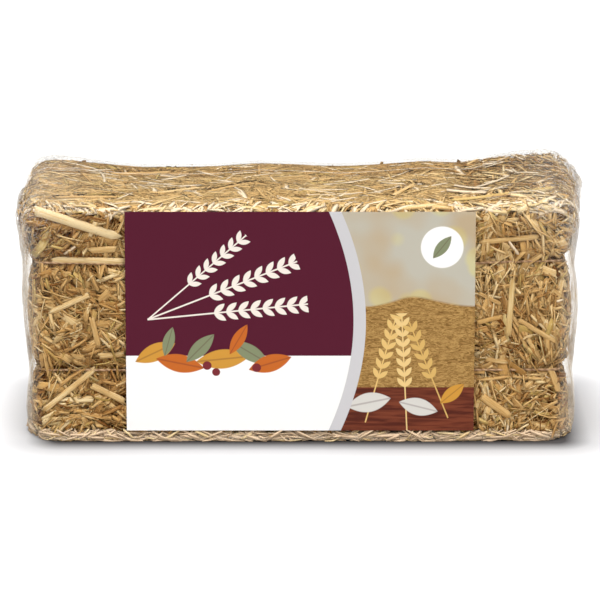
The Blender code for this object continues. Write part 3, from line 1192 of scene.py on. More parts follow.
@dataclass
class Skirt:
    """Flattened straw along the foot of the bale, where it presses onto the floor."""

    material: bpy.types.Material
    per_metre: float = 4600.0
    corner: float = 0.0105
    end_inset: float = 0.0025
    inset: tuple[float, float] = (-0.0006, 0.0065)
    heights: tuple[float, float] = (0.0004, 0.0052)
    length: tuple[float, float] = (0.004, 0.017)
    width: tuple[float, float] = (0.0007, 0.0026)
    tint: tuple[float, float] = (0.97, 0.11)
    lean: float = 0.38
    width_skew: float = 1.6
    rosy_share: float = 0.8
    roll: float = 0.3
    flatness: tuple[float, float] = (0.4, 0.7)
    slant: float = 0.8
    overlap: float = 0.002
    end_sink: float = 0.05
    corner_start: float = 0.026
    corner_curve: float = 24.0
    outwards: tuple[float, float] = (0.8, 0.6)
    seed: int = 41

    def build(self) -> bpy.types.Object:
        """Lay the straw along all four sides of the foot.

        Returns:
            The object, one joined mesh.
        """
        chance = np.random.default_rng(self.seed)
        low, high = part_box("film_wrap")
        middle = np.array((low + high) / 2)
        half = np.array((high - low) / 2)
        rows = []
        for axis, side in ((0, -1), (0, 1), (1, -1), (1, 1)):
            rows.append(self.row(chance, middle, half, axis, side))
        centres, ups = (np.concatenate(part) for part in zip(*rows))
        count = len(centres)
        widths = self.width[0] + np.ptp(self.width) * chance.random(count) ** self.width_skew
        straws = Straws(
            centres=centres,
            normals=ups,
            widths=widths,
            section=Section.FIBRE,
            tints=np.clip(chance.normal(*self.tint, count), 0, 1),
            hues=np.where(chance.random(count) < self.rosy_share, ROSY, 0.5),
            rolls=chance.normal(0, self.roll, count),
            heights=chance.uniform(*self.flatness, count),
            slants=chance.normal(0, self.slant, count),
        )
        return straws.build("loose_straw_foot", self.material, chance)

    def row(
        self, chance: Chance, middle: Array, half: Array, axis: int, side: int
    ) -> tuple[Array, Array]:
        """Middle lines and ways out of the straws along one side.

        Args:
            chance: The random source.
            middle: The middle of the bale's box.
            half: Half of its size.
            axis: The axis that the side faces along.
            side: Which way along it.

        Returns:
            Arrays of stations and of ways out.
        """
        other = 1 - axis
        reach = half[other] - self.corner
        count = round(2 * reach * self.per_metre)
        steps = np.linspace(-0.5, 0.5, 3)[None, :] * chance.uniform(*self.length, count)[:, None]
        lean = chance.normal(0, self.lean, count)[:, None]
        along = chance.uniform(-reach, reach, count)[:, None] + steps * np.cos(lean)
        along = np.clip(along, -reach, reach)
        level = chance.uniform(*self.heights, count)[:, None] + steps * np.sin(lean)
        level = np.clip(level, self.heights[0], self.heights[1] + self.overlap)
        inset = chance.uniform(*self.inset, count)[:, None] + np.abs(steps) * self.end_sink
        inset = inset + (self.end_inset if axis == 0 else 0.0)
        past = np.maximum(np.abs(along) - (half[other] - self.corner_start), 0)
        inset = inset + past ** 2 * self.corner_curve
        centres = np.zeros((count, 3, 3))
        centres[..., other] = middle[other] + along
        centres[..., axis] = middle[axis] + side * (half[axis] - inset)
        centres[..., 2] = level
        ups = np.zeros((count, 3, 3))
        ups[..., axis] = side * self.outwards[0]
        ups[..., 2] = self.outwards[1]
        return centres, ups


@dataclass(frozen=True)
class Hero:
    """How one large stem differs from the rest, and how far it goes on past its solid."""

    taper: tuple[float, float] = (1.0, 0.75)
    tint: float = 0.72
    hue: float = 0.5
    height: float = 1.0
    before: float = 0.0
    after: float = 0.0
    section: Section = Section.HALF


HEROES = {
    "straw_stem_01": Hero(taper=(1.10, 0.42), tint=0.98, height=1.1, before=6 * MM, after=4 * MM),
    "straw_stem_02": Hero(taper=(0.55, 1.0), tint=0.86, before=1 * MM, after=1 * MM),
    "straw_stem_03": Hero(taper=(1.0, 0.9), tint=0.68),
    "straw_stem_04": Hero(taper=(0.8, 1.0), tint=0.84),
    "straw_stem_07": Hero(taper=(1.0, 0.7), tint=0.78),
    "straw_stem_14": Hero(taper=(0.9, 0.5), tint=0.62, hue=0.06),
    "straw_stem_16": Hero(taper=(0.5, 0.9), tint=0.66),
    "straw_stem_17": Hero(taper=(0.7, 1.0), tint=0.70, hue=0.95),
}


@dataclass
class LargeStems:
    """The large stems, rebuilt in detail where their solids lie."""

    frame: dict
    ground: Ground
    stations: int = 16
    seed: int = 23
    lift: float = 0.0026
    plain_tint: tuple[float, float] = (0.55, 0.85)
    roll: float = 0.05
    slant: float = 0.5
    tear: float = 0.7
    usual_way: tuple[float, float, float] = (1.0, 0.3, 0.1)

    def __post_init__(self) -> None:
        """Find each stem's name, middle line, way out and width."""
        self.names = sorted(name for name in self.frame["nodes"] if name.startswith("straw_stem_"))
        self.found = {name: self.trace(name) for name in self.names}

    def lines(self) -> list[tuple[Array, float]]:
        """Middle lines and widths of all stems."""
        return [(centres, width) for centres, _, width in self.found.values()]

    def trace(self, name: str) -> tuple[Array, Array, float]:
        """Lay a stem's middle line along the block, from its solid.

        Args:
            name: The CAD node.

        Returns:
            The stations, the way out at each, and the stem's width.
        """
        corners = np.array([v.co[:] for v in self.frame["nodes"][name].data.vertices])
        middle = corners.mean(0)
        _, _, main_axes = np.linalg.svd(corners - middle)
        along = main_axes[0] * (1 if main_axes[0] @ np.array(self.usual_way) > 0 else -1)
        _, out = self.ground.nearest(middle[None])
        across = np.cross(out[0], along)
        local = (corners - middle) @ along
        hero = HEROES.get(name, Hero())
        steps = np.linspace(local.min() - hero.before, local.max() + hero.after, self.stations)
        places, ups = self.ground.nearest(middle + steps[:, None] * along)
        width = float(np.ptp((corners - middle) @ unit(across)))
        return places + ups * self.lift, ups, width

    def build(self, material: bpy.types.Material) -> None:
        """Rebuild every stem.

        Args:
            material: Their material.
        """
        chance = np.random.default_rng(self.seed)
        for name in self.names:
            centres, ups, width = self.found[name]
            plain = Hero(tint=float(chance.uniform(*self.plain_tint)), hue=float(chance.random()))
            hero = HEROES.get(name, plain)
            straws = Straws(
                centres=centres[None],
                normals=ups[None],
                widths=np.array([width]),
                section=hero.section,
                tints=np.array([hero.tint]),
                hues=np.array([hero.hue]),
                rolls=np.array([float(chance.normal(0, self.roll))]),
                heights=np.array([hero.height]),
                taper=hero.taper,
                slants=np.array([float(chance.normal(0, self.slant))]),
                tear=self.tear,
            )
            item = straws.build(f"stem_{name[-2:]}", material, chance)
            finish_piece(item, "straw_stems")
            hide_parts(name)


@dataclass(frozen=True)
class StringLook:
    """Finish of the thin twisted binding string."""

    light: tuple = srgb(196, 160, 122)
    # Painted shade in the grooves between the plies of the twist
    groove_shade: tuple = srgb(150, 112, 78)
    twist_scale: float = 150.0
    uneven: float = 1.5
    roughness: float = 0.75

    def build(self) -> bpy.types.Material:
        """Make the material, with the twist as slanting bands, the darker ones painted shade in the grooves
        between the plies.

        Returns:
            The material.
        """
        material, nodes, shader = new_material("string")
        wave = nodes.add("TexWave", bands_direction="DIAGONAL")
        nodes.join(nodes.place(), wave.inputs["Vector"])
        wave.inputs["Scale"].default_value = self.twist_scale
        wave.inputs["Distortion"].default_value = self.uneven
        colour = nodes.mix(wave.outputs["Fac"], self.groove_shade, self.light)
        nodes.join(colour, shader.inputs["Base Color"])
        shader.inputs["Roughness"].default_value = self.roughness
        return material


@dataclass(frozen=True)
class FilmFolds:
    """Shapes in the film's surface: soft ripples, sharp folds, streaks of milk and painted reflection, and
    a seam.
    """

    ripple_scale: float = 60.0
    ripple_height: float = 0.8
    fine_scale: float = 330.0
    fine_stretch: tuple = (1.0, 1.0, 0.5)
    fine_height: float = 0.16
    warp: tuple = (0.02, 0.02, 0.02)
    cell_scale: tuple = (120.0, 120.0, 80.0)
    fold_width: float = 0.11
    fold_height: float = 0.55
    streak_scale: tuple = (140.0, 140.0, 24.0)
    streak_span: tuple = (0.36, 0.66, 0.45, 1.0)
    seam_y: float = 0.0157
    seam_waver: float = 0.003
    seam_scale: float = 18.0
    seam_turn: float = 0.095
    seam_curve: float = 19.0
    seam_half: float = 0.0009
    seam_share: float = 0.85
    seam_above: float = 0.12

    def build(self) -> bpy.types.NodeTree:
        """Make the node group.

        Returns:
            The group.
        """
        group, nodes, start, end = new_group(
            "film folds",
            {"Where": "Vector", "Crease": "Float", "Milk": "Float"},
            {"Height": "Float", "Folds": "Float", "Veil": "Float"},
        )
        where = start.outputs["Where"]
        ripple = nodes.noise(where, self.ripple_scale, 2.0, 0.5, 0.6)
        fine = nodes.noise(nodes.stretch(where, self.fine_stretch), self.fine_scale, 2.0, 0.5, 1.0)
        warp = nodes.add("TexNoise")
        nodes.join(where, warp.inputs["Vector"])
        warp.inputs["Scale"].default_value = self.ripple_scale
        shift = nodes.vector("MULTIPLY", warp.outputs["Color"], self.warp)
        cells = nodes.add("TexVoronoi", feature="DISTANCE_TO_EDGE")
        bent = nodes.stretch(nodes.vector("ADD", where, shift), self.cell_scale)
        nodes.join(bent, cells.inputs["Vector"])
        ridge = nodes.span(cells.outputs["Distance"], 0.0, self.fold_width, 1.0, 0.0)
        folds = nodes.math("MULTIPLY", ridge, start.outputs["Crease"])
        soft = nodes.math("MULTIPLY", ripple, self.ripple_height)
        soft = nodes.math("MULTIPLY_ADD", fine, self.fine_height, soft)
        height = nodes.math("MULTIPLY_ADD", folds, self.fold_height, soft)
        nodes.join(height, end.inputs["Height"])
        nodes.join(folds, end.inputs["Folds"])
        streaks = nodes.noise(nodes.stretch(where, self.streak_scale), 1.0, 3.0, 0.6, 0.4)
        milk_and_reflection_share = nodes.span(streaks, *self.streak_span)
        veil = nodes.math("MULTIPLY", milk_and_reflection_share, start.outputs["Milk"])
        nodes.join(nodes.math("MAXIMUM", veil, self.seam(nodes, where)), end.inputs["Veil"])
        return group

    def seam(self, nodes: Nodes, where: Socket) -> Socket:
        """Mask of the film's welded seam, a thin line along the top that bends at its right end.

        Args:
            nodes: The node helper.
            where: Object coordinates.

        Returns:
            The mask's socket.
        """
        parts = nodes.axes(where)
        past = nodes.math("MAXIMUM", nodes.math("SUBTRACT", parts["X"], self.seam_turn), 0.0)
        bend = nodes.math("MULTIPLY", nodes.math("MULTIPLY", past, past), self.seam_curve)
        waver = nodes.noise(where, self.seam_scale, 1.0)
        start = self.seam_y - self.seam_waver / 2
        line = nodes.math("ADD", bend, nodes.math("MULTIPLY_ADD", waver, self.seam_waver, start))
        away = nodes.math("ABSOLUTE", nodes.math("SUBTRACT", parts["Y"], line))
        thin = nodes.span(away, self.seam_half * 0.5, self.seam_half, self.seam_share, 0.0)
        above = nodes.math("GREATER_THAN", parts["Z"], self.seam_above)
        return nodes.math("MULTIPLY", thin, above)


@dataclass(frozen=True)
class FilmLook:
    """Finish of the clear shrink film."""

    ior: float = 1.08
    fold_gloss: float = 0.28
    roughness: float = 0.13
    veil_haze: float = 0.45
    painted_fold_highlight: float = 0.25
    white: tuple = srgb(253, 245, 230)
    clear: tuple = srgb(254, 254, 253)
    # Grey of the painted shade along the film's outline
    edge: tuple = srgb(240, 236, 230)
    outline_shade_start: float = 0.86
    bump_m: float = 0.0005

    def build(self) -> bpy.types.Material:
        """Make the material: see-through, with a sheen that grows to grazing angles.

        Returns:
            The material.
        """
        material, nodes, shader = new_material("clear film")
        material.node_tree.nodes.remove(shader)
        folds = nodes.use(
            FilmFolds().build(),
            Where=nodes.place(),
            Crease=nodes.stored("crease"),
            Milk=nodes.stored("veil"),
        )
        normal = nodes.bump(folds.outputs["Height"], self.bump_m)
        fresnel = nodes.add("Fresnel")
        fresnel.inputs["IOR"].default_value = self.ior
        nodes.join(normal, fresnel.inputs["Normal"])
        once = fresnel.outputs[0]
        twice = nodes.math("DIVIDE", nodes.math("MULTIPLY", once, 2.0), nodes.math("ADD", once, 1.0))
        clear = nodes.add("BsdfTransparent")
        facing = nodes.add("LayerWeight")
        facing.inputs["Blend"].default_value = 0.5
        # Painted shade: the see-through tint greys along the film's outline, at grazing angles
        edge = nodes.span(facing.outputs["Facing"], self.outline_shade_start, 1.0)
        nodes.join(nodes.mix(edge, self.clear, self.edge), clear.inputs["Color"])
        gloss = nodes.add("BsdfGlossy")
        gloss.inputs["Roughness"].default_value = self.roughness
        nodes.join(normal, gloss.inputs["Normal"])
        # Diffuse white veil: partly the film's own milkiness, partly painted reflection of the white
        # surroundings at the bale's ends and foot, and painted glare on the corners' crinkles
        milk_and_reflection = nodes.add("BsdfDiffuse")
        milk_and_reflection.inputs["Color"].default_value = self.white
        milk_and_reflection_share = nodes.math("MULTIPLY", folds.outputs["Veil"], self.veil_haze)
        # Painted highlight: diffuse white along the fold ridges, added to the veil
        amount = nodes.math("MULTIPLY_ADD", folds.outputs["Folds"], self.painted_fold_highlight, milk_and_reflection_share)
        dusty = self.layer(nodes, amount, clear.outputs[0], milk_and_reflection.outputs[0])
        seen = nodes.add("LightPath").outputs["Is Camera Ray"]
        share = nodes.math("MULTIPLY_ADD", folds.outputs["Folds"], self.fold_gloss, twice, clamp=True)
        skin = self.layer(nodes, nodes.math("MULTIPLY", share, seen), dusty, gloss.outputs[0])
        output = material.node_tree.nodes["Material Output"]
        nodes.join(skin, output.inputs["Surface"])
        return material

    @staticmethod
    def layer(nodes: Nodes, share: Socket, below: Socket, above: Socket) -> Socket:
        """Lay one shader over another.

        Args:
            nodes: The node helper.
            share: How much of the upper one shows.
            below: The lower shader.
            above: The upper shader.

        Returns:
            The mixed shader's socket.
        """
        mixed = nodes.add("MixShader")
        nodes.join(share, mixed.inputs[0])
        nodes.join(below, mixed.inputs[1])
        nodes.join(above, mixed.inputs[2])
        return mixed.outputs[0]


@dataclass(frozen=True)
class Bulge:
    """A place where the film stands off or pulls in."""

    place: Vector
    reach: float
    push: Vector


BULGES = (
    Bulge(Vector((-0.165, -0.030, 0.124)), 0.026, Vector((-0.0026, 0, 0))),
    Bulge(Vector((-0.165, -0.030, 0.072)), 0.040, Vector((0.0016, 0, 0))),
    Bulge(Vector((0.162, 0.010, 0.143)), 0.024, Vector((0.0046, 0, 0.0010))),
    Bulge(Vector((0.133, 0.055, 0.150)), 0.030, Vector((0, 0, 0.0022))),
    Bulge(Vector((-0.150, 0.045, 0.147)), 0.020, Vector((0, 0, 0.0016))),
)


@dataclass
class Film:
    """The clear shrink film as one skin, crinkled most at its corners."""

    node: bpy.types.Object
    material: bpy.types.Material
    cell: float = 0.0030
    outside: float = 0.001
    smoothing: int = 3
    ripple: float = 0.0004
    ripple_scale: float = 30.0
    crinkle: float = 0.0021
    crinkle_scale: float = 60.0
    crinkle_middle: float = 0.35
    edge_reach: float = 0.008
    edge_share: float = 0.35
    corner_reach: float = 0.034
    corner_drop: float = 0.8
    # Milky veil at the corners, across the upright ends and along the foot: partly the film's own
    # milkiness, partly painted reflection and glare
    corner_veil: float = 0.10
    veil_width: float = 0.013
    veil_depth: float = 0.026
    veil_top: float = 0.140
    veil_fade: float = 0.020
    foot_veil: float = 0.35
    foot_height: float = 0.0065
    foot_inset: float = 0.014
    foot_turn: float = 0.55
    foot_ruffle: float = 0.0030
    foot_ruffle_scale: float = 45.0
    foot_ruffle_middle: float = 0.4
    foot_spread: float = 0.0015
    foot_corner: float = 0.008
    floor_reach: float = 0.0004
    label_margin: float = 0.004
    label_press: float = 0.3
    vents: tuple = ((-0.022, 0.126), (0.022, 0.075))
    vent_radius: float = 0.0016

    def build(self) -> bpy.types.Object:
        """Make the film.

        Returns:
            Its object.
        """
        tree = BVHTree.FromObject(self.node, bpy.context.evaluated_depsgraph_get())
        low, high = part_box("film_wrap")
        bm = self.grid(low, high)
        for vert in bm.verts:
            vert.co = tree.find_nearest(vert.co)[0]
        smooth(bm, self.smoothing)
        bm.normal_update()
        self.crumple(bm, low, high)
        self.open_vents(bm)
        mesh = bpy.data.meshes.new("film")
        bm.to_mesh(mesh)
        bm.free()
        mesh.shade_smooth()
        mesh.materials.append(self.material)
        film = link("film", mesh)
        finish_piece(film, "clear_film")
        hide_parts("film_wrap")
        return film

    def grid(self, low: Vector, high: Vector) -> bmesh.types.BMesh:
        """Make a box just outside the film, cut into cells.

        Args:
            low: The low corner of the film's box.
            high: The high corner.

        Returns:
            The box's mesh.
        """
        bm = bmesh.new()
        bmesh.ops.create_cube(bm, size=1)
        size = high - low + 2 * self.outside * Vector((1, 1, 1))
        bmesh.ops.scale(bm, verts=bm.verts, vec=size)
        bmesh.ops.translate(bm, verts=bm.verts, vec=(low + high) / 2)
        for axis in range(3):
            cells = round(size[axis] / self.cell)
            for i in range(1, cells):
                place = Vector((low + high) / 2)
                place[axis] = low[axis] - self.outside + size[axis] * i / cells
                way = Vector((0, 0, 0))
                way[axis] = 1
                parts = bm.verts[:] + bm.edges[:] + bm.faces[:]
                bmesh.ops.bisect_plane(bm, geom=parts, dist=1e-6, plane_co=place, plane_no=way)
        return bm

    def open_vents(self, bm: bmesh.types.BMesh) -> None:
        """Open the round vents in both ends of the film.

        Args:
            bm: The film's mesh.
        """
        for side in (-1, 1):
            ends = [vert for vert in bm.verts if vert.normal.x * side > 0.5]
            for y, z in self.vents:
                middle = min(ends, key=lambda vert: math.hypot(vert.co.y - y, vert.co.z - z))
                around = {vert for face in middle.link_faces for vert in face.verts} - {middle}
                for vert in around:
                    turn = math.atan2(vert.co.z - middle.co.z, vert.co.y - middle.co.y)
                    vert.co.y = y + self.vent_radius * math.cos(turn)
                    vert.co.z = z + self.vent_radius * math.sin(turn)
                ends.remove(middle)
                bmesh.ops.delete(bm, geom=[middle], context="VERTS")

    def crumple(self, bm: bmesh.types.BMesh, low: Vector, high: Vector) -> None:
        """Push the film in and out, and note how creased each vertex is, and how milky, partly as painted
        reflection.

        Args:
            bm: The film's mesh.
            low: The low corner of its box.
            high: The high corner.
        """
        crease = bm.verts.layers.float.new("crease")
        milk_and_reflection = bm.verts.layers.float.new("veil")
        label_low, label_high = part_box("label")
        middle = (low + high) / 2
        half = (high - low) / 2
        for vert in bm.verts:
            place, out = vert.co.copy(), vert.normal
            side = half.x - abs(place.x - middle.x)
            edge = math.exp(-((side / self.edge_reach) ** 2))
            gap = side + self.corner_drop * (high.z - place.z)
            corner = math.exp(-((gap / self.corner_reach) ** 2))
            wide = noise.noise(place * self.ripple_scale)
            fine = noise.noise(place * self.crinkle_scale + Vector((9, 2, 4)))
            ridged = 1 - 2 * abs(fine) - self.crinkle_middle
            push = self.ripple * wide + (self.crinkle * corner + self.ripple * edge) * ridged
            beside = (
                label_low.x - self.label_margin < place.x < label_high.x + self.label_margin
                and out.y < -0.5
            )
            if beside:
                push = -abs(push) * self.label_press
            vert.co = place + out * push
            for bulge in BULGES:
                gap = (place - bulge.place).length / bulge.reach
                vert.co += bulge.push * math.exp(-gap * gap)
            if vert.co.z < 0.0 or (out.z < -0.8 and place.z < self.floor_reach):
                vert.co.z = 0.0
            self.square_foot(vert, low, high)
            vert[crease] = 0.0 if beside else max(corner, self.edge_share * edge)
            vert[milk_and_reflection] = max(self.veil(vert.co, low, high), self.corner_veil * corner)

    def veil(self, place: Vector, low: Vector, high: Vector) -> float:
        """Tell how milky the film is, partly as painted reflection of the white surroundings.

        Args:
            place: A place on the film.
            low: The low corner of its box.
            high: The high corner.

        Returns:
            How milky the film is there: most at the bale's upright edges and its foot, where the white is
                painted reflection of the surroundings.
        """
        side = min(place.x - low.x, high.x - place.x)
        inwards = min(place.y - low.y, high.y - place.y)
        upright = max(0.0, 1.0 - side / self.veil_width) * math.exp(-((inwards / self.veil_depth) ** 2))
        upright *= min(1.0, max(0.0, (self.veil_top - place.z) / self.veil_fade))
        foot = max(0.0, 1.0 - place.z / self.foot_height) * self.foot_veil
        return min(1.0, max(upright, foot))

    def square_foot(self, vert: bmesh.types.BMVert, low: Vector, high: Vector) -> None:
        """Spread the film's foot, where the straw presses it onto the floor.

        Args:
            vert: The vertex to move.
            low: The low corner of the film's box.
            high: The high corner.
        """
        share = max(0.0, 1.0 - vert.co.z / self.foot_height)
        if share <= 0.0:
            return
        middle = (low + high) / 2
        half = (high - low) / 2
        side = vert.co.y - middle.y
        edge = half.y - self.foot_inset
        if abs(side) < edge:
            return
        inside = half.x - self.foot_corner - abs(vert.co.x - middle.x)
        share *= min(1.0, max(0.0, inside / self.foot_corner))
        wave = noise.noise(vert.co * self.foot_ruffle_scale + Vector((3, 5, 0)))
        ruffle = self.foot_ruffle * (self.foot_ruffle_middle + wave)
        reach = half.y + (self.foot_spread + ruffle) * share
        turned = min(1.0, (abs(side) - edge) / (self.foot_inset * self.foot_turn))
        goal = edge + (reach - edge) * turned
        wider = max(goal, abs(side)) - abs(side)
        vert.co.y = middle.y + math.copysign(abs(side) + wider * share ** 0.5, side)


def leaf_group() -> bpy.types.NodeTree:
    """Node group: mask of one pointed leaf, or of a disc when Round is 1.

    Returns:
        The group.
    """
    group, nodes, start, end = new_group(
        "leaf mask",
        {"Where": "Vector", "X": "Float", "Y": "Float", "Turn": "Float", "Long": "Float",
         "Wide": "Float", "Round": "Float"},
        {"Mask": "Float", "Rib": "Float"},
    )
    local = nodes.use(turned_group(), Where=start.outputs["Where"], X=start.outputs["X"],
                      Y=start.outputs["Y"], Turn=start.outputs["Turn"])
    along = nodes.math("DIVIDE", local.outputs["Along"], start.outputs["Long"])
    across = nodes.math("ABSOLUTE", nodes.math("DIVIDE", local.outputs["Across"], start.outputs["Wide"]))
    square = nodes.math("MULTIPLY", along, along)
    pointed = nodes.math("ADD", square, across)
    circle = nodes.math("MULTIPLY_ADD", across, across, square)
    reach = nodes.add("Mix", data_type="FLOAT")
    nodes.join(start.outputs["Round"], reach.inputs["Factor"])
    nodes.join(pointed, reach.inputs["A"])
    nodes.join(circle, reach.inputs["B"])
    nodes.join(nodes.span(reach.outputs["Result"], 0.94, 1.02, 1.0, 0.0), end.inputs["Mask"])
    nodes.join(nodes.span(across, 0.05, 0.12, 1.0, 0.0), end.inputs["Rib"])
    return group


def turned_group() -> bpy.types.NodeTree:
    """Node group: coordinates along and across a shape at a place on the label.

    Returns:
        The group.
    """
    name = "turned place"
    if name in bpy.data.node_groups:
        return bpy.data.node_groups[name]
    group, nodes, start, end = new_group(
        name,
        {"Where": "Vector", "X": "Float", "Y": "Float", "Turn": "Float"},
        {"Along": "Float", "Across": "Float"},
    )
    centre = nodes.flat(start.outputs["X"], start.outputs["Y"])
    turn = nodes.add("VectorRotate", rotation_type="Z_AXIS", invert=True)
    nodes.join(start.outputs["Where"], turn.inputs["Vector"])
    nodes.join(centre, turn.inputs["Center"])
    nodes.join(start.outputs["Turn"], turn.inputs["Angle"])
    local = nodes.axes(nodes.vector("SUBTRACT", turn.outputs[0], centre))
    nodes.join(local["X"], end.inputs["Along"])
    nodes.join(local["Y"], end.inputs["Across"])
    return group


def ear_group() -> bpy.types.NodeTree:
    """Node group: mask of an ear of grain, two rows of kernels on a stalk.

    Returns:
        The group.
    """
    group, nodes, start, end = new_group(
        "ear mask",
        {"Where": "Vector", "X": "Float", "Y": "Float", "Turn": "Float", "Length": "Float",
         "Pitch": "Float"},
        {"Mask": "Float"},
    )
    local = nodes.use(turned_group(), Where=start.outputs["Where"], X=start.outputs["X"],
                      Y=start.outputs["Y"], Turn=start.outputs["Turn"])
    along, pitch = local.outputs["Along"], start.outputs["Pitch"]
    side = nodes.math("ABSOLUTE", local.outputs["Across"])
    share = nodes.math("DIVIDE", along, pitch)
    cell = nodes.math("SUBTRACT", nodes.math("FRACT", share), 0.5)
    out = nodes.math("SUBTRACT", nodes.math("DIVIDE", side, pitch), 0.36)
    first = nodes.math("MULTIPLY_ADD", cell, 0.80, nodes.math("MULTIPLY", out, 0.60))
    second = nodes.math("MULTIPLY_ADD", cell, -0.60, nodes.math("MULTIPLY", out, 0.80))
    first = nodes.math("DIVIDE", first, 0.60)
    second = nodes.math("ABSOLUTE", nodes.math("DIVIDE", second, 0.24))
    shape = nodes.math("MULTIPLY_ADD", first, first, second)
    kernel = nodes.span(shape, 0.90, 1.05, 1.0, 0.0)
    inside = nodes.math("MULTIPLY", nodes.math("GREATER_THAN", along, 0.0),
                        nodes.math("LESS_THAN", along, start.outputs["Length"]))
    ear = nodes.math("MULTIPLY", kernel, inside)
    tail = nodes.math("GREATER_THAN", along, nodes.math("MULTIPLY", start.outputs["Length"], -0.7))
    tip = nodes.math("LESS_THAN", along, start.outputs["Length"])
    thin = nodes.span(nodes.math("DIVIDE", side, pitch), 0.05, 0.08, 1.0, 0.0)
    stalk = nodes.math("MULTIPLY", nodes.math("MULTIPLY", tail, tip), thin)
    nodes.join(nodes.math("MAXIMUM", ear, stalk), end.inputs["Mask"])
    return group


@dataclass(frozen=True)
class Leaf:
    """One leaf or berry printed on the label, placed in label heights from its lower left."""

    x: float
    y: float
    turn: float
    length: float
    width: float
    colour: tuple
    is_round: bool = False


@dataclass(frozen=True)
class Ear:
    """One ear of grain printed on the label."""

    x: float
    y: float
    turn: float
    length: float
    pitch: float
    colour: tuple


CREAM = srgb(240, 232, 222)
RUST = srgb(196, 104, 42)
OCHRE = srgb(206, 150, 62)
SAGE = srgb(132, 140, 108)
WINE = srgb(122, 46, 52)
SILVER = srgb(214, 212, 206)


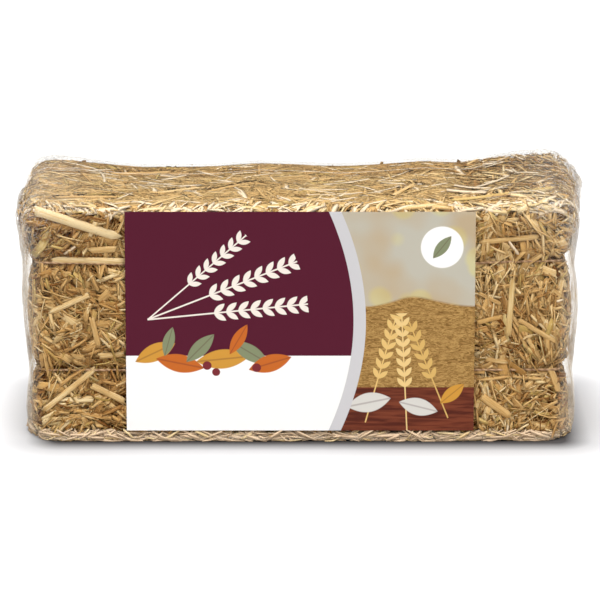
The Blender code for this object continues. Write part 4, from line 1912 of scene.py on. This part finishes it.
@dataclass(frozen=True)
class LabelLook:
    """Generic harvest print: a wine-red field, a white foot and a soft golden panel."""

    field_colour: tuple = srgb(85, 26, 46)
    paper: tuple = srgb(249, 248, 247)
    divider: tuple = srgb(204, 203, 206)
    sky: tuple = srgb(190, 186, 172)
    glow: tuple = srgb(214, 204, 132)
    stubble: tuple = srgb(186, 148, 88)
    stubble_dark: tuple = srgb(122, 88, 44)
    soil: tuple = srgb(122, 62, 42)
    soil_dark: tuple = srgb(84, 38, 28)
    foot: float = 0.345
    panel_start: float = 0.955
    panel_bow: float = 0.11
    divider_width: float = 0.055
    soil_height: float = 0.20
    horizon: tuple[float, float] = (0.665, 0.675)
    hill_scale: float = 2.2
    hill_height: float = 0.16
    lights_scale: float = 7.0
    lights_size: tuple[float, float] = (0.46, 0.34)
    lights_share: float = 0.55
    haze_scale: float = 3.0
    haze_span: tuple[float, float] = (0.42, 0.62)
    haze_share: float = 0.5
    stubble_scale: tuple = (30.0, 90.0, 1.0)
    stubble_span: tuple[float, float] = (0.38, 0.60)
    soil_scale: tuple = (4.0, 46.0, 1.0)
    soil_span: tuple[float, float] = (0.40, 0.60)
    rib_share: float = 0.35
    finish: tuple[float, float] = (0.5, 0.1)
    ears: tuple[Ear, ...] = (
        Ear(0.39, 0.54, 0.10, 0.42, 0.054, CREAM),
        Ear(0.37, 0.62, 0.38, 0.42, 0.054, CREAM),
        Ear(0.28, 0.67, 0.72, 0.34, 0.048, CREAM),
        Ear(1.12, 0.24, 1.30, 0.30, 0.046, srgb(226, 190, 120)),
        Ear(1.24, 0.20, 1.62, 0.34, 0.046, srgb(232, 200, 136)),
        Ear(1.36, 0.24, 1.95, 0.28, 0.046, srgb(214, 176, 104)),
    )
    leaves: tuple[Leaf, ...] = (
        Leaf(0.13, 0.36, 0.45, 0.10, 0.040, OCHRE),
        Leaf(0.24, 0.31, -0.20, 0.11, 0.042, RUST),
        Leaf(0.33, 0.38, 0.80, 0.09, 0.034, SAGE),
        Leaf(0.43, 0.33, 0.10, 0.12, 0.045, OCHRE),
        Leaf(0.55, 0.36, -0.55, 0.10, 0.036, SAGE),
        Leaf(0.64, 0.31, 0.30, 0.10, 0.040, RUST),
        Leaf(0.19, 0.41, 1.30, 0.07, 0.026, SAGE),
        Leaf(0.50, 0.42, 1.05, 0.08, 0.028, RUST),
        Leaf(0.36, 0.30, 0.0, 0.020, 0.020, WINE, True),
        Leaf(0.40, 0.27, 0.0, 0.018, 0.018, WINE, True),
        Leaf(0.58, 0.29, 0.0, 0.020, 0.020, WINE, True),
        Leaf(1.40, 0.84, 0.0, 0.095, 0.095, paper, True),
        Leaf(1.40, 0.84, 0.90, 0.065, 0.026, SAGE),
        Leaf(1.08, 0.13, 0.20, 0.10, 0.045, SILVER),
        Leaf(1.30, 0.11, -0.25, 0.09, 0.040, SILVER),
        Leaf(1.45, 0.17, 0.70, 0.07, 0.030, OCHRE),
    )

    def build(self) -> bpy.types.Material:
        """Make the printed material, in label heights from the label's lower left.

        Returns:
            The material.
        """
        low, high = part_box("label")
        tall = high.z - low.z
        material, nodes, shader = new_material("printed label")
        parts = nodes.axes(nodes.place())
        x = nodes.math("DIVIDE", nodes.math("SUBTRACT", parts["X"], low.x), tall)
        y = nodes.math("DIVIDE", nodes.math("SUBTRACT", parts["Z"], low.z), tall)
        where = nodes.flat(x, y)
        colour = nodes.mix(nodes.math("LESS_THAN", y, self.foot), self.field_colour, self.paper)
        middle = nodes.math("SUBTRACT", y, 0.5)
        bow = nodes.math("MULTIPLY_ADD", nodes.math("MULTIPLY", middle, middle), -4 * self.panel_bow,
                         self.panel_start + self.panel_bow)
        past = nodes.math("SUBTRACT", x, bow)
        colour = self.print_shapes(nodes, where, colour, 0.0, self.panel_start)
        colour = nodes.mix(nodes.math("GREATER_THAN", past, -self.divider_width), colour, self.divider)
        panel = self.panel(nodes, where, y)
        panel = self.print_shapes(nodes, where, panel, self.panel_start, 2.0)
        colour = nodes.mix(nodes.math("GREATER_THAN", past, 0.0), colour, panel)
        nodes.join(colour, shader.inputs["Base Color"])
        set_finish(shader, *self.finish)
        return material

    def print_shapes(
        self, nodes: Nodes, where: Socket, colour: Socket, left: float, right: float
    ) -> Socket:
        """Print the leaves and ears whose middle lies between two places.

        Args:
            nodes: The node helper.
            where: The label coordinates.
            colour: The colour below.
            left: Where the part of the label starts.
            right: Where it ends.

        Returns:
            The colour with the shapes on it.
        """
        ear_mask, leaf_mask = ear_group(), leaf_group()
        for ear in self.ears:
            if left <= ear.x < right:
                mask = nodes.use(ear_mask, Where=where, X=ear.x, Y=ear.y, Turn=ear.turn,
                                 Length=ear.length, Pitch=ear.pitch)
                colour = nodes.mix(mask.outputs["Mask"], colour, ear.colour)
        for leaf in self.leaves:
            if left <= leaf.x < right:
                mask = nodes.use(leaf_mask, Where=where, X=leaf.x, Y=leaf.y, Turn=leaf.turn,
                                 Long=leaf.length, Wide=leaf.width, Round=float(leaf.is_round))
                share = 0.0 if leaf.is_round else self.rib_share
                rib = nodes.math("MULTIPLY", mask.outputs["Rib"], share)
                tone = nodes.mix(rib, leaf.colour, self.field_colour)
                colour = nodes.mix(mask.outputs["Mask"], colour, tone)
        return colour

    def panel(self, nodes: Nodes, where: Socket, y: Socket) -> Socket:
        """Paint the panel: a hazy sky with soft lights over stubble and soil.

        Args:
            nodes: The node helper.
            where: The label coordinates.
            y: Their height.

        Returns:
            The colour's socket.
        """
        lights = nodes.add("TexVoronoi", feature="F1")
        nodes.join(where, lights.inputs["Vector"])
        lights.inputs["Scale"].default_value = self.lights_scale
        disc = nodes.span(lights.outputs["Distance"], *self.lights_size, 0.0, self.lights_share)
        sky = nodes.mix(disc, self.sky, self.glow)
        haze = nodes.noise(where, self.haze_scale, 2.0, 0.5)
        sky = nodes.mix(nodes.span(haze, *self.haze_span, 0.0, self.haze_share), sky, self.stubble)
        straw = nodes.noise(nodes.stretch(where, self.stubble_scale), 1.0, 4.0, 0.7, 1.5)
        stubble = nodes.mix(nodes.span(straw, *self.stubble_span), self.stubble_dark, self.stubble)
        grain = nodes.noise(nodes.stretch(where, self.soil_scale), 1.0, 3.0, 0.6, 0.4)
        soil = nodes.mix(nodes.span(grain, *self.soil_span), self.soil_dark, self.soil)
        hills = nodes.noise(where, self.hill_scale, 1.0, 0.5)
        roll = nodes.math("MULTIPLY_ADD", hills, self.hill_height, y)
        colour = nodes.mix(nodes.span(roll, *self.horizon), stubble, sky)
        return nodes.mix(nodes.math("LESS_THAN", y, self.soil_height), colour, soil)


@dataclass(frozen=True)
class Lamp:
    """A broad, far light."""

    name: str
    towards: tuple[float, float, float]
    power: float
    spread: float


@dataclass(frozen=True)
class Studio:
    """White floor, soft lights and the camera at the photo's angle."""

    target: Vector = Vector((0.0007, -0.0635, 0.070))
    distance: float = 2.2
    elevation: float = math.radians(14.5)
    aim_up: float = math.radians(0.418)
    lens: float = 224.7
    sensor: float = 36.0
    low_dim: float = 0.12
    high_bright: float = 1.3
    lamps: tuple[Lamp, ...] = (
        Lamp("key", (-0.40, 0.95, -0.9), 1.04, 34.0),
        Lamp("fill", (0.9, 0.8, -0.7), 0.40, 40.0),
        Lamp("overhead", (0.05, 0.20, -1.0), 2.15, 45.0),
    )
    floor_painted_shadow: tuple = (0.07, 0.066, 0.066, 1.0)
    floor_seen: tuple = (0.35, 0.345, 0.35, 1.0)
    floor_bounce: tuple = (0.52, 0.50, 0.48, 1.0)
    footprint: tuple = (0.146, 0.060, 10.0)
    shadow_shift: tuple = (0.006, 0.0, 0.0)
    floor_size: float = 6.0
    floor_finish: tuple[float, float] = (0.9, 0.1)
    painted_shadow_width: float = 0.016
    glow_start: float = 0.006
    glow_end: float = 0.046
    glow: float = 0.62
    glow_behind: tuple[float, float] = (-0.02, 0.06)
    horizon: tuple[float, float] = (0.45, 0.80)

    def build(self) -> None:
        """Set the floor, the world, the lights and the camera."""
        self.floor()
        self.world()
        for lamp in self.lamps:
            light = bpy.data.lights.new(lamp.name, "SUN")
            light.energy = lamp.power
            light.angle = math.radians(lamp.spread)
            item = link(lamp.name, light)
            item.rotation_euler = Vector(lamp.towards).to_track_quat("-Z", "Y").to_euler()
        self.camera()
        bpy.context.scene.view_settings.view_transform = "Standard"

    def floor(self) -> None:
        """Add the pale floor, darkened near the bale by a painted contact shadow, and glowing a little away
        from the bale.
        """
        bm = bmesh.new()
        bmesh.ops.create_grid(bm, x_segments=1, y_segments=1, size=self.floor_size)
        mesh = bpy.data.meshes.new("floor")
        bm.to_mesh(mesh)
        bm.free()
        material, nodes, shader = new_material("white floor")
        set_finish(shader, *self.floor_finish)
        ray = nodes.add("LightPath").outputs
        where = nodes.place()
        folded = nodes.vector("ABSOLUTE", nodes.vector("SUBTRACT", where, self.shadow_shift))
        beyond = nodes.vector("SUBTRACT", folded, self.footprint)
        away = nodes.vector("LENGTH", nodes.vector("MAXIMUM", beyond, (0.0, 0.0, 0.0)))
        # Painted contact shadow: the floor's colour darkens near the bale's footprint
        near = nodes.span(away, self.glow_start, self.glow_start + self.painted_shadow_width)
        seen = nodes.mix(near, self.floor_painted_shadow, self.floor_seen)
        tone = nodes.mix(ray["Is Camera Ray"], self.floor_bounce, seen)
        nodes.join(tone, shader.inputs["Base Color"])
        # The glow fades towards the bale, which paints the contact shadow's soft edge
        glow = nodes.span(away, self.glow_start, self.glow_end, 0.0, self.glow)
        shader.inputs["Emission Color"].default_value = (1.0, 1.0, 1.0, 1.0)
        rear = nodes.span(nodes.axes(where)["Y"], *self.glow_behind)
        behind = nodes.math("MULTIPLY", ray["Is Glossy Ray"], rear)
        direct = nodes.math("MULTIPLY", glow, ray["Is Camera Ray"])
        nodes.join(nodes.math("MAXIMUM", direct, behind), shader.inputs["Emission Strength"])
        mesh.materials.append(material)
        link("floor", mesh)

    def world(self) -> None:
        """Light the surroundings: white overhead, dimmer round the horizon."""
        world = bpy.data.worlds.new("studio")
        world.use_nodes = True
        nodes = Nodes(world.node_tree)
        way = nodes.axes(nodes.add("TexCoord").outputs["Generated"])
        strength = nodes.span(way["Z"], *self.horizon, self.low_dim, self.high_bright)
        back = world.node_tree.nodes["Background"]
        back.inputs["Color"].default_value = (1.0, 1.0, 1.0, 1.0)
        nodes.join(strength, back.inputs["Strength"])
        bpy.context.scene.world = world

    def camera(self) -> None:
        """Add the camera."""
        data = bpy.data.cameras.new("camera")
        data.lens = self.lens
        data.sensor_width = self.sensor
        camera = link("camera", data)
        back = Vector((0, -math.cos(self.elevation), math.sin(self.elevation)))
        camera.location = self.target + back * self.distance
        camera.rotation_euler = (math.pi / 2 - self.elevation + self.aim_up, 0, 0)
        bpy.context.scene.camera = camera


def finish_piece(item: bpy.types.Object, slot: str) -> None:
    """Let a piece ride on the bale, and log the name of a material slot of the record with it.

    Args:
        item: The piece.
        slot: The slot's name.
    """
    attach(item, BODY)
    LOG.info("%s rides on %s in slot %s", item.name, BODY, slot)


def dress_node(node: bpy.types.Object, material: bpy.types.Material) -> None:
    """Give a CAD node its finish.

    Args:
        node: The CAD node.
        material: Its material.
    """
    node.data.materials.clear()
    node.data.materials.append(material)
    LOG.info("%s dressed in %s", node.name, material.name)


def main() -> None:
    """Dress the bale and set its stage."""
    logging.basicConfig(level=logging.INFO)
    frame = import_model()
    nodes = frame["nodes"]
    grain = Grain().build()
    look = StrawLook()
    straw = look.build(grain)
    dress_node(nodes["straw_block"], look.build_block(grain))
    dress_node(nodes["label"], LabelLook().build())
    string = StringLook().build()
    for name in STRINGS:
        dress_node(nodes[name], string)
    heights = tuple(sum(corner.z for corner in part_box(name)) / 2 for name in STRINGS)
    ground = Ground(nodes["straw_block"])
    stems = LargeStems(frame, ground)
    stems.build(straw)
    film = Film(nodes["film_wrap"], FilmLook().build()).build()
    film_tree = BVHTree.FromObject(film, bpy.context.evaluated_depsgraph_get())
    loose = LooseStraw(ground, straw, heights, stems.lines(), film_tree)
    for cut in CUTS:
        finish_piece(loose.lay(cut), "pressed_straw")
    finish_piece(Skirt(straw).build(), "pressed_straw")
    Studio().build()


if __name__ == "__main__":
    main()
